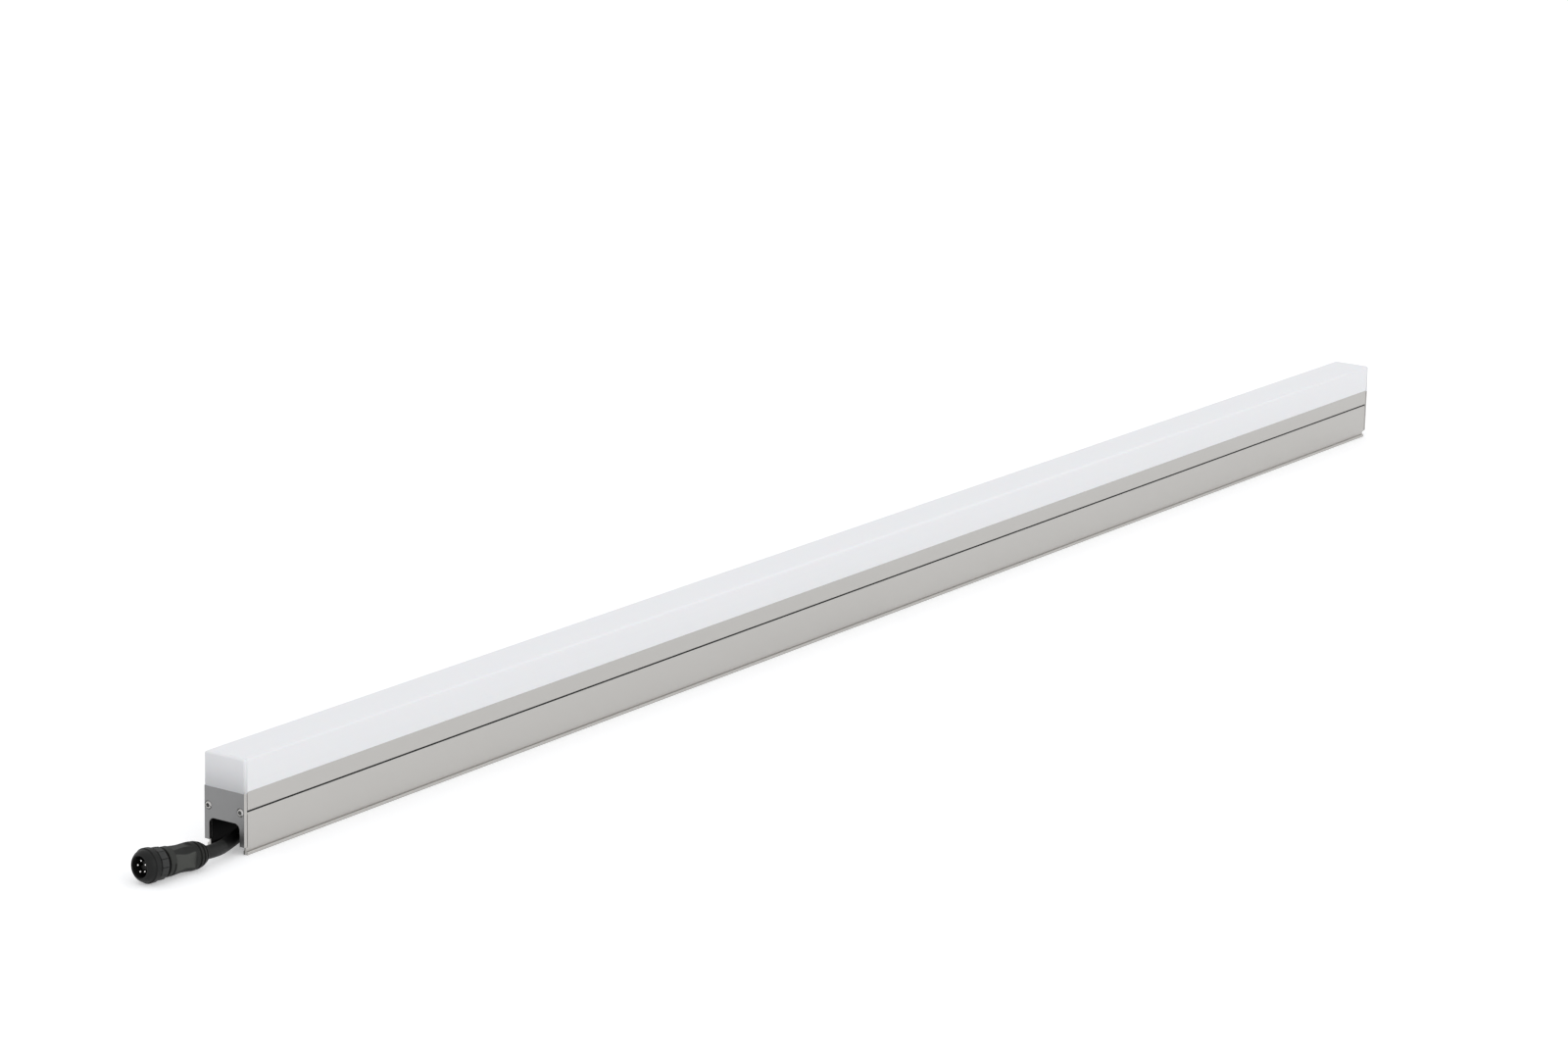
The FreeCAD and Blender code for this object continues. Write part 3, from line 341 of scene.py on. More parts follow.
# %% [markdown]
# Some pieces carry painted shade in part of them: the inside of the cable channel and the reveal
# of each plate's arch are painted black as shade, the upper part of the side groove is painted
# dark as the shade under its lip, and a plate's face is painted darker than its cut edges, as a
# face that gets less light. A third group gives a mask for such a part, from limits on the
# distance along and across the bar and on the height.

# %% Group: zone mask
ZONE_LIMITS = ["X Low", "X High", "Y Low", "Y High", "Z Low", "Z High"]


def mask_group():
    """One inside a zone of |x|, |y| and z, nought outside, with a hard edge."""
    limits = [(limit, FLOAT, 0) for limit in ZONE_LIMITS]
    group, start, end = new_group("zone mask", [("Vector", VECTOR, None)] + limits,
                                  [("Mask", FLOAT)])
    parts = add_node(group, "ShaderNodeSeparateXYZ", -900, 0)
    group.links.new(start.outputs["Vector"], parts.inputs[0])
    total = None
    for limit in ZONE_LIMITS:
        value = parts.outputs[limit[0]]
        if limit[0] != "Z":
            either = add_node(group, "ShaderNodeMath", -700, 200, operation="ABSOLUTE")
            group.links.new(value, either.inputs[0])
            value = either.outputs[0]
        operation = "GREATER_THAN" if limit.endswith("Low") else "LESS_THAN"
        test = add_node(group, "ShaderNodeMath", -400, 0, operation=operation)
        group.links.new(value, test.inputs[0])
        group.links.new(start.outputs[limit], test.inputs[1])
        if total is None:
            total = test.outputs[0]
            continue
        both = add_node(group, "ShaderNodeMath", 0, 0, operation="MULTIPLY")
        group.links.new(total, both.inputs[0])
        group.links.new(test.outputs[0], both.inputs[1])
        total = both.outputs[0]
    group.links.new(total, end.inputs["Mask"])
    return group


zone_mask = mask_group()
print("mask group:", zone_mask.name)

# %% [markdown]
# ## Materials
#
# Every finish is a Principled shader fed by one of the two surface groups. Constants that are
# the same all over, such as the specular level, are set on the shader itself.

# %% Material maker
def finish(name, tone, roughness, size=0.4 * MM, group=None, tone_spread=0.08,
           roughness_spread=0.08, bump=0.0, metal=0.0, **constants):
    """A Principled material whose tone, roughness and height come from a surface group."""
    made = bpy.data.materials.new(name)
    made.use_nodes = True
    tree = made.node_tree
    shader = tree.nodes["Principled BSDF"]
    place = add_node(tree, "ShaderNodeTexCoord", -900, 0)
    texture = add_node(tree, "ShaderNodeGroup", -600, 0, node_tree=group or grain)
    tree.links.new(place.outputs["Object"], texture.inputs["Vector"])
    fill(texture, Tone=(*tone, 1), Tone_Spread=tone_spread, Roughness=roughness,
         Roughness_Spread=roughness_spread, Size=size)
    tree.links.new(texture.outputs["Colour"], shader.inputs["Base Color"])
    tree.links.new(texture.outputs["Roughness"], shader.inputs["Roughness"])
    relief = add_node(tree, "ShaderNodeBump", -300, -300)
    fill(relief, Strength=1, Distance=bump)
    tree.links.new(texture.outputs["Height"], relief.inputs["Height"])
    tree.links.new(relief.outputs[0], shader.inputs["Normal"])
    fill(shader, Metallic=metal, **constants)
    return made


# %% Helper: painted light and shade in part of a piece
def mixed_in(tree, data_type, share, socket, value):
    """Mix a value into what a socket has, by a share, and feed the socket with the result."""
    mix = add_node(tree, "ShaderNodeMix", -200, 400, data_type=data_type)
    tree.links.new(share, mix.inputs["Factor"])
    mix.inputs["A"].default_value = socket.default_value
    if socket.links:
        tree.links.new(socket.links[0].from_socket, mix.inputs["A"])
    mix.inputs["B"].default_value = value
    tree.links.new(mix.outputs["Result"], socket)


def paint_zone(material, tone, metal, zone):
    """Give a zone of |x|, |y| and z in millimetres another tone, and make it metal or not."""
    tree = material.node_tree
    shader = tree.nodes["Principled BSDF"]
    mask = add_node(tree, "ShaderNodeGroup", -600, 500, node_tree=zone_mask)
    tree.links.new(tree.nodes["Texture Coordinate"].outputs["Object"], mask.inputs["Vector"])
    for limit, value in zip(ZONE_LIMITS, zone):
        mask.inputs[limit].default_value = value * MM
    share = mask.outputs["Mask"]
    mixed_in(tree, "RGBA", share, shader.inputs["Base Color"], (*tone, 1))
    mixed_in(tree, "FLOAT", share, shader.inputs["Metallic"], metal)


def blend_tone(material, tone, attribute):
    """Blend a tone into a finish by the share that an attribute of the piece holds."""
    tree = material.node_tree
    share = add_node(tree, "ShaderNodeAttribute", -600, 600, attribute_name=attribute)
    base = tree.nodes["Principled BSDF"].inputs["Base Color"]
    mixed_in(tree, "RGBA", share.outputs["Fac"], base, (*tone, 1))


# %% Metals
ALUMINIUM = (0.492, 0.480, 0.461)
# Painted shade: the darker tones and zones below stand in for shade on the plate's face, in the
# side groove, inside the cable channel and in the arch reveal.
PLATE_FACE_SHADE_TONE = (0.255, 0.255, 0.255)
GROOVE_SHADE_TONE = (0.03, 0.03, 0.029)
PAINTED_SHADE_BLACK = (0.006, 0.006, 0.006)
LEAST, MOST = -1, 600
CHANNEL_SHADE = (LEAST, MOST, LEAST, 9.25, LEAST, 15.05)
GROOVE_SHADE = (LEAST, MOST, 9.9, 10.93, 18.62, 19.65)
PLATE_FACE_SHADE = (499.9, MOST, LEAST, 10.8, LEAST, 28)
ARCH_REVEAL_SHADE = (LEAST, 499.85, LEAST, 8.45, LEAST, 13.65)

anodised = finish("anodised_aluminium", ALUMINIUM, 0.42, size=0.25 * MM,
                  group=drawn_lines, tone_spread=0.05, roughness_spread=0.12,
                  bump=0.004 * MM, metal=1.0, Specular_IOR_Level=0.1)
# Painted shade: the inside of the cable channel is painted black.
paint_zone(anodised, PAINTED_SHADE_BLACK, 0, CHANNEL_SHADE)
# Painted shade: the upper part of each side groove, under its lip, is painted dark.
paint_zone(anodised, GROOVE_SHADE_TONE, 0, GROOVE_SHADE)

plate_metal = finish("plate_aluminium", ALUMINIUM, 0.46, size=0.12 * MM,
                     tone_spread=0.10, bump=0.006 * MM, metal=1.0, Specular_IOR_Level=0.1)
# Painted shade: the plate's face is darker than its cut edges, as a face that gets less light.
paint_zone(plate_metal, PLATE_FACE_SHADE_TONE, 1, PLATE_FACE_SHADE)
# Painted shade: the reveal of the plate's arch is painted black.
paint_zone(plate_metal, PAINTED_SHADE_BLACK, 0, ARCH_REVEAL_SHADE)

stainless = finish("stainless_steel", (0.50, 0.49, 0.48), 0.34, size=0.15 * MM,
                   bump=0.003 * MM, metal=1.0)
tinned_brass = finish("tinned_brass", (0.93, 0.92, 0.90), 0.16, size=0.3 * MM,
                      tone_spread=0.04, roughness_spread=0.05, metal=1.0)
print("metals made")

# %% Plastics and rubbers
OPAL_TONE = (0.86, 0.86, 0.87)
MILKY = {"Specular_IOR_Level": 0.15, "Subsurface_Weight": 0.05, "Subsurface_Scale": 0.002}
opal = finish("opal_polycarbonate", OPAL_TONE, 0.50, size=0.35 * MM, group=drawn_lines,
              tone_spread=0.012, roughness_spread=0.06, bump=0.002 * MM, **MILKY)
cap_opal = finish("opal_cap", OPAL_TONE, 0.50, size=0.5 * MM, tone_spread=0.015,
                  roughness_spread=0.05, bump=0.003 * MM, **MILKY)

# Painted shade: the lead's jacket is painted near black from just outside the end plate into the
# channel.
LEAD_SHADE_BLACK = (0.002, 0.002, 0.002)
SHADED_UNDER_THE_BAR = (LEAST, 507, LEAST, 20, LEAST, 40)
cable_jacket = finish("cable_jacket", (0.014, 0.0145, 0.014), 0.5, size=0.3 * MM,
                      tone_spread=0.2, bump=0.01 * MM, Specular_IOR_Level=0.2)
paint_zone(cable_jacket, LEAD_SHADE_BLACK, 0, SHADED_UNDER_THE_BAR)
plug_moulding = finish("plug_moulding", (0.017, 0.018, 0.0165), 0.55, size=0.22 * MM,
                       tone_spread=0.18, bump=0.012 * MM, Specular_IOR_Level=0.15)
grip_moulding = finish("grip_moulding", (0.040, 0.041, 0.040), 0.5, size=0.22 * MM,
                       tone_spread=0.15, bump=0.012 * MM, Specular_IOR_Level=0.15)
collar_moulding = finish("collar_moulding", (0.014, 0.0145, 0.014), 0.42, size=0.22 * MM,
                         tone_spread=0.18, bump=0.010 * MM, Specular_IOR_Level=0.15)
black_nylon = finish("black_nylon", (0.012, 0.012, 0.012), 0.45, size=0.3 * MM, bump=0.01 * MM)
carrier_black = finish("pin_carrier", (0.010, 0.0095, 0.009), 0.6, size=0.3 * MM, bump=0.006 * MM)
gasket_rubber = finish("gasket_rubber", (0.33, 0.325, 0.315), 0.75, size=0.3 * MM, bump=0.01 * MM)
seal_rubber = finish("seal_rubber", (0.012, 0.012, 0.012), 0.36, size=0.4 * MM, bump=0.004 * MM)
print("plastics made")

# %% Inside: board, packages, chips, wires
solder_mask = finish("white_solder_mask", (0.80, 0.80, 0.77), 0.35, size=0.8 * MM,
                     tone_spread=0.03, bump=0.004 * MM)
package_white = finish("package_white", (0.82, 0.81, 0.76), 0.4, size=0.5 * MM, tone_spread=0.03)
phosphor = finish("phosphor_gel", (0.80, 0.55, 0.10), 0.18, size=0.3 * MM, tone_spread=0.10)
chip_epoxy = finish("chip_epoxy", (0.020, 0.020, 0.021), 0.5, size=0.2 * MM, bump=0.006 * MM)
connector_ivory = finish("connector_ivory", (0.72, 0.69, 0.58), 0.38, size=0.4 * MM,
                         bump=0.005 * MM)
bonding_tape = finish("bonding_tape", (0.62, 0.66, 0.70), 0.6, size=0.8 * MM, bump=0.01 * MM)
print("inside finishes made")

# %% [markdown]
# The five wire cores have five colours. They lie side by side, so a colour ramp with hard
# steps across Y gives each its own, on one mesh and with one material.

# %% Wire colours
CORE_COLOURS = [(0.42, 0.02, 0.02), (0.02, 0.16, 0.03), (0.02, 0.05, 0.35),
                (0.75, 0.75, 0.72), (0.02, 0.02, 0.02)]
CORE_PITCH = 1.15 * MM
core_insulation = finish("core_insulation", (0.5, 0.5, 0.5), 0.4, size=0.4 * MM)
core_tree = core_insulation.node_tree
core_place = core_tree.nodes["Texture Coordinate"].outputs["Object"]
across = add_node(core_tree, "ShaderNodeSeparateXYZ", -900, 300)
core_tree.links.new(core_place, across.inputs[0])
across_share = add_node(core_tree, "ShaderNodeMapRange", -750, 300)
half_width = len(CORE_COLOURS) * CORE_PITCH / 2
fill(across_share, From_Min=-half_width, From_Max=half_width)
core_tree.links.new(across.outputs["Y"], across_share.inputs["Value"])
ramp = add_node(core_tree, "ShaderNodeValToRGB", -600, 300)
ramp.color_ramp.interpolation = "CONSTANT"
while len(ramp.color_ramp.elements) < len(CORE_COLOURS):
    ramp.color_ramp.elements.new(0.5)
for index, colour in enumerate(CORE_COLOURS):
    ramp.color_ramp.elements[index].position = index / len(CORE_COLOURS)
    ramp.color_ramp.elements[index].color = (*colour, 1)
core_tree.links.new(across_share.outputs[0], ramp.inputs[0])
core_tree.links.new(ramp.outputs[0], core_tree.nodes["Group"].inputs["Tone"])
print(len(CORE_COLOURS), "wire colours")

# %% [markdown]
# ## Copies of the measured pieces
#
# The measured solids have perfectly sharp edges, and real ones never do: a tiny rounding
# catches the light along every edge. Each copy has its triangles joined into clean faces,
# gets a narrow bevel, and its shading is weighted by face area so that flat stays flat.

# %% Helper: a finer copy of a measured piece
def dress(piece, body, slot, material, *nodes):
    """Give a piece its material, its body and the nodes that it stands for; the slot is not used.
    """
    if material:
        piece.data.materials.clear()
        piece.data.materials.append(material)
    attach(piece, body)
    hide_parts(*nodes)
    return piece


WELD = 0.001 * MM
COPLANAR = math.radians(0.3)
BEVEL_SEGMENTS = 2


def joined(node):
    """A measured piece with its doubled corners welded and its triangles joined."""
    shape = bmesh.new()
    shape.from_mesh(frame["nodes"][node].data)
    bmesh.ops.remove_doubles(shape, verts=shape.verts, dist=WELD)
    bmesh.ops.dissolve_limit(shape, angle_limit=COPLANAR, verts=shape.verts, edges=shape.edges)
    return shape


def keep_flat(piece):
    """Weight the shading by the size of the faces, so that flat faces look flat."""
    weighted = piece.modifiers.new("flat faces stay flat", "WEIGHTED_NORMAL")
    weighted.keep_sharp = False


def soften(piece, edge, sharp=30):
    """Round the edges that are sharper than an angle in degrees."""
    bevel = piece.modifiers.new("rounded edges", "BEVEL")
    bevel.width = edge
    bevel.segments = BEVEL_SEGMENTS
    bevel.limit_method = "ANGLE"
    bevel.angle_limit = math.radians(sharp)
    bevel.miter_outer = "MITER_ARC"
    keep_flat(piece)


def fine_copy(node, name, edge, slot, material):
    """A copy of a measured piece with joined faces and softly rounded edges."""
    mesh = frame["nodes"][node].data.copy()
    mesh.name = name
    shape = joined(node)
    for face in shape.faces:
        face.smooth = True
    shape.to_mesh(mesh)
    shape.free()
    piece = in_scene(name, mesh)
    if edge:
        soften(piece, edge)
    return dress(piece, LIGHT, slot, material, node)


# %% Extrusion, end plates and caps
ENDS = ("near", "far")
fine_copy("housing", "extruded_housing", 0.12 * MM, "aluminium_body", anodised)
for end in ENDS:
    fine_copy(end + "_end_plate", end + "_plate", 0.1 * MM, "end_plate", plate_metal)
    fine_copy(end + "_gasket", end + "_gasket_sheet", 0.05 * MM, "gasket_rubber",
              gasket_rubber)
print("housing, plates and gaskets dressed")
for end in ENDS:
    fine_copy(end + "_end_cap", end + "_opal_cap", 0, "opal_cover", cap_opal)
print("caps dressed")

# %% [markdown]
# ## The opal cover
#
# The cover is one plastic section, pushed out through a die and cut to length, so its shape
# follows a rule: the same section all along the bar. Geometry Nodes do what the die does. The
# measured section is one face, a tree pushes it along the bar by a length, and a turned copy
# of the face closes the start.

# %% Helpers: geometry trees
def new_tree(name, inputs):
    """A geometry tree with its named inputs; returns it with its first and last node."""
    tree = bpy.data.node_groups.new(name, "GeometryNodeTree")
    sockets = tree.interface
    sockets.new_socket("Geometry", in_out="INPUT", socket_type="NodeSocketGeometry")
    for label, kind in inputs:
        sockets.new_socket(label, in_out="INPUT", socket_type="NodeSocket" + kind)
    sockets.new_socket("Finish", in_out="INPUT", socket_type="NodeSocketMaterial")
    sockets.new_socket("Geometry", in_out="OUTPUT", socket_type="NodeSocketGeometry")
    return tree, add_node(tree, "NodeGroupInput", -900), add_node(tree, "NodeGroupOutput", 700)


def end_tree(tree, start, end, geometry):
    """Make the geometry real and give it the finish that the tree was given."""
    real = add_node(tree, "GeometryNodeRealizeInstances", 200)
    painted = add_node(tree, "GeometryNodeSetMaterial", 450)
    tree.links.new(geometry, real.inputs[0])
    tree.links.new(real.outputs[0], painted.inputs[0])
    tree.links.new(start.outputs["Finish"], painted.inputs["Material"])
    tree.links.new(painted.outputs[0], end.inputs[0])


def run_tree(holder, tree, **values):
    """Evaluate a geometry tree on an object and keep the result as its plain mesh."""
    modifier = holder.modifiers.new(tree.name, "NODES")
    modifier.node_group = tree
    inputs = {item.name: item.identifier for item in tree.interface.items_tree
              if item.in_out == "INPUT"}
    for label, value in values.items():
        modifier[inputs[label]] = value
    result = bpy.data.meshes.new_from_object(
        holder.evaluated_get(bpy.context.evaluated_depsgraph_get()))
    holder.modifiers.clear()
    holder.data = result


# %% Tree: extruded section
def extrusion_tree(name):
    """One face pushed along X by a length, and closed behind with a turned copy."""
    tree, start, end = new_tree(name, [("Length", "Float")])
    way = add_node(tree, "ShaderNodeCombineXYZ", -700, -200)
    pushed = add_node(tree, "GeometryNodeExtrudeMesh", -450, 100, mode="FACES")
    fill(pushed, Individual=False, Offset_Scale=1)
    behind = add_node(tree, "GeometryNodeFlipFaces", -450, -300)
    both = add_node(tree, "GeometryNodeJoinGeometry", -200)
    merged = add_node(tree, "GeometryNodeMergeByDistance", 0)
    fill(merged, Distance=WELD)
    join = tree.links.new
    join(start.outputs["Length"], way.inputs["X"])
    join(start.outputs["Geometry"], pushed.inputs["Mesh"])
    join(way.outputs[0], pushed.inputs["Offset"])
    join(start.outputs["Geometry"], behind.inputs["Mesh"])
    join(pushed.outputs["Mesh"], both.inputs[0])
    join(behind.outputs["Mesh"], both.inputs[0])
    join(both.outputs[0], merged.inputs["Geometry"])
    end_tree(tree, start, end, merged.outputs[0])
    return tree


EXTRUSION = extrusion_tree("extruded section")
print("tree:", EXTRUSION.name)

# %% Section of the cover
def measured_section(node):
    """Corners of a measured extrusion's end face, in order, and how long the piece is."""
    shape = joined(node)
    low = min(vertex.co.x for vertex in shape.verts)
    high = max(vertex.co.x for vertex in shape.verts)
    ends = [face for face in shape.faces
            if all(vertex.co.x < low + WELD for vertex in face.verts)]
    section = max(ends, key=lambda face: face.calc_area())
    corners = [vertex.co.copy() for vertex in section.verts]
    shape.free()
    return corners[::-1], high - low


section, cover_length = measured_section("diffuser")
print(len(section), "corners in the section, cut to", round(cover_length / MM, 1), "mm")

# %% Cover
cover_mesh = bpy.data.meshes.new("opal_cover")
cover_mesh.from_pydata(section, [], [range(len(section))])
cover = in_scene("opal_cover", cover_mesh)
run_tree(cover, EXTRUSION, Length=cover_length, Finish=opal)
cover.data.shade_smooth()
keep_flat(cover)
dress(cover, LIGHT, "opal_cover", None, "diffuser")
print("cover:", len(cover.data.polygons), "faces")

# %% Cable outlets
for end in ENDS:
    fine_copy(end + "_cable_outlet", end + "_outlet", 0.12 * MM, "black_nylon", black_nylon)
    fine_copy(end + "_outlet_washer", end + "_washer", 0.1 * MM, "gasket_rubber",
              gasket_rubber)
    fine_copy(end + "_outlet_nut", end + "_locknut", 0.2 * MM, "black_nylon", black_nylon)
print("outlets dressed")

# %% Boards, tape, chips and connectors
BOARDS = 4
fine_copy("thermal_tape", "bonding_tape", 0, "tape", bonding_tape)
fine_copy("board_links", "bridge_connectors", 0.3 * MM, "connector", connector_ivory)
fine_copy("lead_cores", "wire_cores", 0, "core_insulation", core_insulation)
for number in range(1, BOARDS + 1):
    fine_copy("light_board_%d" % number, "board_%d" % number, 0.05 * MM, "circuit_board",
              solder_mask)
    fine_copy("control_chips_%d" % number, "chips_%d" % number, 0.15 * MM, "chip", chip_epoxy)
print(BOARDS, "boards dressed")

# %% [markdown]
# ## The screws
#
# A button-head screw is turned from bar, so its outline is spun about its axis, and then a
# hexagon is sunk into the crown. One screw is modelled, and Geometry Nodes put a copy in each
# of the four seats, turned to face out of its end.

# %% Helper: spin an outline
def bent(start, end, bulge, steps=6):
    """Points of an arc from start to end that stands out by bulge, without the start."""
    start, end = Vector(start), Vector(end)
    chord = end - start
    across = Vector((-chord.y, chord.x)).normalized()
    radius = (chord.length_squared / 4 + bulge * bulge) / (2 * abs(bulge))
    centre = (start + end) / 2 + across * (bulge - math.copysign(radius, bulge))
    first, last = start - centre, end - centre
    turn = first.angle_signed(last)
    points = []
    for step in range(1, steps + 1):
        spun = Matrix.Rotation(-turn * step / steps, 2) @ first
        points.append(tuple(centre + spun))
    return points


def smoothed(shape):
    """A bmesh with its faces turned outward and shaded smooth."""
    bmesh.ops.recalc_face_normals(shape, faces=shape.faces)
    for face in shape.faces:
        face.smooth = True
    return shape


def spin(outline, segments, closed):
    """Faces of an outline of (along, radius) points spun about the X axis."""
    shape = bmesh.new()
    rings = []
    for along, radius in outline:
        if radius < 1e-9:
            rings.append([shape.verts.new((along, 0, 0))])
            continue
        ring = []
        for step in range(segments):
            angle = 2 * math.pi * step / segments
            across, above = radius * math.cos(angle), radius * math.sin(angle)
            ring.append(shape.verts.new((along, across, above)))
        rings.append(ring)
    pairs = list(zip(rings, rings[1:])) + ([(rings[-1], rings[0])] if closed else [])
    for one, other in pairs:
        for step in range(segments):
            after = (step + 1) % segments
            corners = [one[step % len(one)], one[after % len(one)],
                       other[after % len(other)], other[step % len(other)]]
            distinct = list(dict.fromkeys(corners))
            if len(distinct) > 2:
                shape.faces.new(distinct)
    return smoothed(shape)


def as_object(shape, name, matrix=None):
    """A mesh object from a bmesh, with its place applied to the mesh."""
    mesh = bpy.data.meshes.new(name)
    shape.to_mesh(mesh)
    shape.free()
    if matrix:
        mesh.transform(matrix)
    return in_scene(name, mesh)


# %% One screw
HEAD_RADIUS, HEAD_HEIGHT = 1.75 * MM, 1.2 * MM
SHANK_RADIUS, SHANK_LENGTH = 0.95 * MM, 7.8 * MM
SOCKET_RADIUS, SOCKET_DEPTH = 0.92 * MM, 0.95 * MM
CROWN_RADIUS, CROWN_BULGE, LEAD_IN = 0.66 * HEAD_RADIUS, 0.16 * MM, 0.06 * MM
SOCKET_SHADE_TONE = (0.09, 0.09, 0.088)
SCREW_STEPS = 72


def socket_radius(angle):
    """How far the wall of a hexagon is from its middle, in one direction."""
    flat = math.radians(60)
    return SOCKET_RADIUS * math.cos(flat / 2) / math.cos((angle % flat) - flat / 2)


def screw_shape():
    """Dome, rim and shank spun about X, with the middle of the crown sunk as a hexagon."""
    outline = [(SOCKET_DEPTH * 1.1, 0), (SOCKET_DEPTH, SOCKET_RADIUS * 0.9),
               (LEAD_IN, SOCKET_RADIUS), (0, SOCKET_RADIUS * 1.06), (0, CROWN_RADIUS)]
    outline += bent((0, CROWN_RADIUS), (HEAD_HEIGHT * 0.8, HEAD_RADIUS), CROWN_BULGE, 8)
    tip = HEAD_HEIGHT + SHANK_LENGTH
    outline += [(HEAD_HEIGHT, HEAD_RADIUS), (HEAD_HEIGHT, SHANK_RADIUS),
                (tip - SHANK_RADIUS, SHANK_RADIUS), (tip, SHANK_RADIUS / 3), (tip, 0)]
    shape = spin(outline, SCREW_STEPS, closed=False)
    # The socket's vertices are marked for their painted shade.
    painted_light_and_shade = shape.verts.layers.float.new("painted_light_and_shade")
    for vertex in shape.verts:
        radius = math.hypot(vertex.co.y, vertex.co.z)
        if radius > SOCKET_RADIUS * 1.02 or vertex.co.x > HEAD_HEIGHT:
            continue
        vertex[painted_light_and_shade] = 1
        if radius > 1e-9:
            angle = math.atan2(vertex.co.z, vertex.co.y)
            vertex.co.yz = Vector(vertex.co.yz) * (socket_radius(angle) / SOCKET_RADIUS)
    return shape


# Painted shade: the hexagon socket is painted darker than the steel of the head.
blend_tone(stainless, SOCKET_SHADE_TONE, "painted_light_and_shade")
screw = as_object(screw_shape(), "screw_pattern")
print("screw:", len(screw.data.polygons), "faces")

# %% Tree: copies on points
def copy_tree(name):
    """Each point of the mesh gets a copy of a shape, turned by the point's own attribute."""
    tree, start, end = new_tree(name, [("Shape", "Object"), ("Size", "Float")])
    shape = add_node(tree, "GeometryNodeObjectInfo", -600, -200)
    turn = add_node(tree, "GeometryNodeInputNamedAttribute", -600, 200,
                    data_type="FLOAT_VECTOR")
    fill(turn, Name="turn")
    copies = add_node(tree, "GeometryNodeInstanceOnPoints", -300)
    join = tree.links.new
    join(start.outputs["Shape"], shape.inputs["Object"])
    join(start.outputs["Geometry"], copies.inputs["Points"])
    join(shape.outputs["Geometry"], copies.inputs["Instance"])
    join(turn.outputs["Attribute"], copies.inputs["Rotation"])
    join(start.outputs["Size"], copies.inputs["Scale"])
    end_tree(tree, start, end, copies.outputs[0])
    return tree


COPIES = copy_tree("copies on points")


def copied(name, shape, places, material):
    """Run the tree on (point, turn) places and keep the result as one plain mesh."""
    mesh = bpy.data.meshes.new(name)
    mesh.from_pydata([place for place, turn in places], [], [])
    attribute = mesh.attributes.new("turn", "FLOAT_VECTOR", "POINT")
    for item, (place, turn) in zip(attribute.data, places):
        item.vector = turn
    holder = in_scene(name, mesh)
    run_tree(holder, COPIES, Shape=shape, Size=1.0, Finish=material)
    bpy.data.objects.remove(shape)
    return holder


print("tree:", COPIES.name)

# %% Four screws in their seats
SCREW_SIDE, SCREW_UP = 8.75 * MM, 18.7 * MM
HEAD_FRONT = 500.4 * MM
screw_places = []
for facing in (1, -1):
    turned = (0, 0, 0 if facing == 1 else math.pi)
    for side in (1, -1):
        place = (-facing * HEAD_FRONT, side * SCREW_SIDE, SCREW_UP)
        screw_places.append((place, turned))
screws = copied("plate_screws", screw, screw_places, stainless)
dress(screws, LIGHT, "screw_steel", None, "near_plate_screws", "far_plate_screws")
print("screws:", len(screws.data.polygons), "faces")

# %% [markdown]
# ## The light packages
#
# Under the opal cover each board carries a row of small square light packages: a white
# moulded frame with a round window of yellow phosphor. They can't be seen while the cover is
# on, but they are there. One is modelled as a square block with a sunk round window.

# %% One light package
LED_SIDE, LED_HEIGHT = 5.0 * MM, 1.5 * MM
WINDOW_RADIUS, WINDOW_DEPTH = 1.9 * MM, 0.3 * MM
WINDOW_STEPS = 24


def package_shape():
    """A square block whose top ring narrows to a round window, sunk below the rim."""
    shape = bmesh.new()
    levels = [(0, None), (LED_HEIGHT, None), (LED_HEIGHT, WINDOW_RADIUS),
              (LED_HEIGHT - WINDOW_DEPTH, WINDOW_RADIUS * 0.9)]
    rings = []
    for height, radius in levels:
        ring = []
        for step in range(WINDOW_STEPS):
            angle = 2 * math.pi * (step + 0.5) / WINDOW_STEPS
            along, across = math.cos(angle), math.sin(angle)
            reach = radius or LED_SIDE / 2 / max(abs(along), abs(across))
            ring.append(shape.verts.new((reach * along, reach * across, height)))
        rings.append(ring)
    for low, high in zip(rings, rings[1:]):
        for step in range(WINDOW_STEPS):
            after = (step + 1) % WINDOW_STEPS
            shape.faces.new((low[step], low[after], high[after], high[step]))
    shape.faces.new(rings[-1])
    shape.faces.new(list(reversed(rings[0])))
    bmesh.ops.recalc_face_normals(shape, faces=shape.faces)
    return shape


# %% Row of packages on each board
LEDS_PER_BOARD = 12
packages = []
for number in range(1, BOARDS + 1):
    low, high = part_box("leds_%d" % number)
    pitch = (high.x - low.x - LED_SIDE) / (LEDS_PER_BOARD - 1)
    for step in range(LEDS_PER_BOARD):
        packages.append(((low.x + LED_SIDE / 2 + step * pitch, 0, low.z), (0, 0, 0)))
package = as_object(package_shape(), "package_pattern")
light_packages = copied("light_packages", package, packages, package_white)
light_packages.data.materials.append(phosphor)
for face in light_packages.data.polygons:
    if len(face.vertices) > 4 and face.center.z > low.z + LED_HEIGHT / 2:
        face.material_index = 1
dress(light_packages, LIGHT, "light_package", None,
      *["leds_%d" % number for number in range(1, BOARDS + 1)])
print(len(packages), "light packages")

# %% [markdown]
# ## The plug
#
# The plug is a moulded body with a loose coupling nut in front. Both are round, so both are
# spun from outlines measured along the plug's axis from the nut's front rim, and then set in
# place by one matrix, worked out from the measured axis that the nut turns on.

# %% Plug frame
ACROSS = Vector((0, 0, 1)).cross(PLUG_AXIS).normalized()
ABOVE = PLUG_AXIS.cross(ACROSS)
PLUG_TURN = Matrix((PLUG_AXIS, ACROSS, ABOVE)).transposed().to_4x4()
PLUG_FRAME = Matrix.Translation(RIM) @ PLUG_TURN
print("plug heading", round(math.degrees(math.atan2(PLUG_AXIS.y, PLUG_AXIS.x)), 1), "degrees")


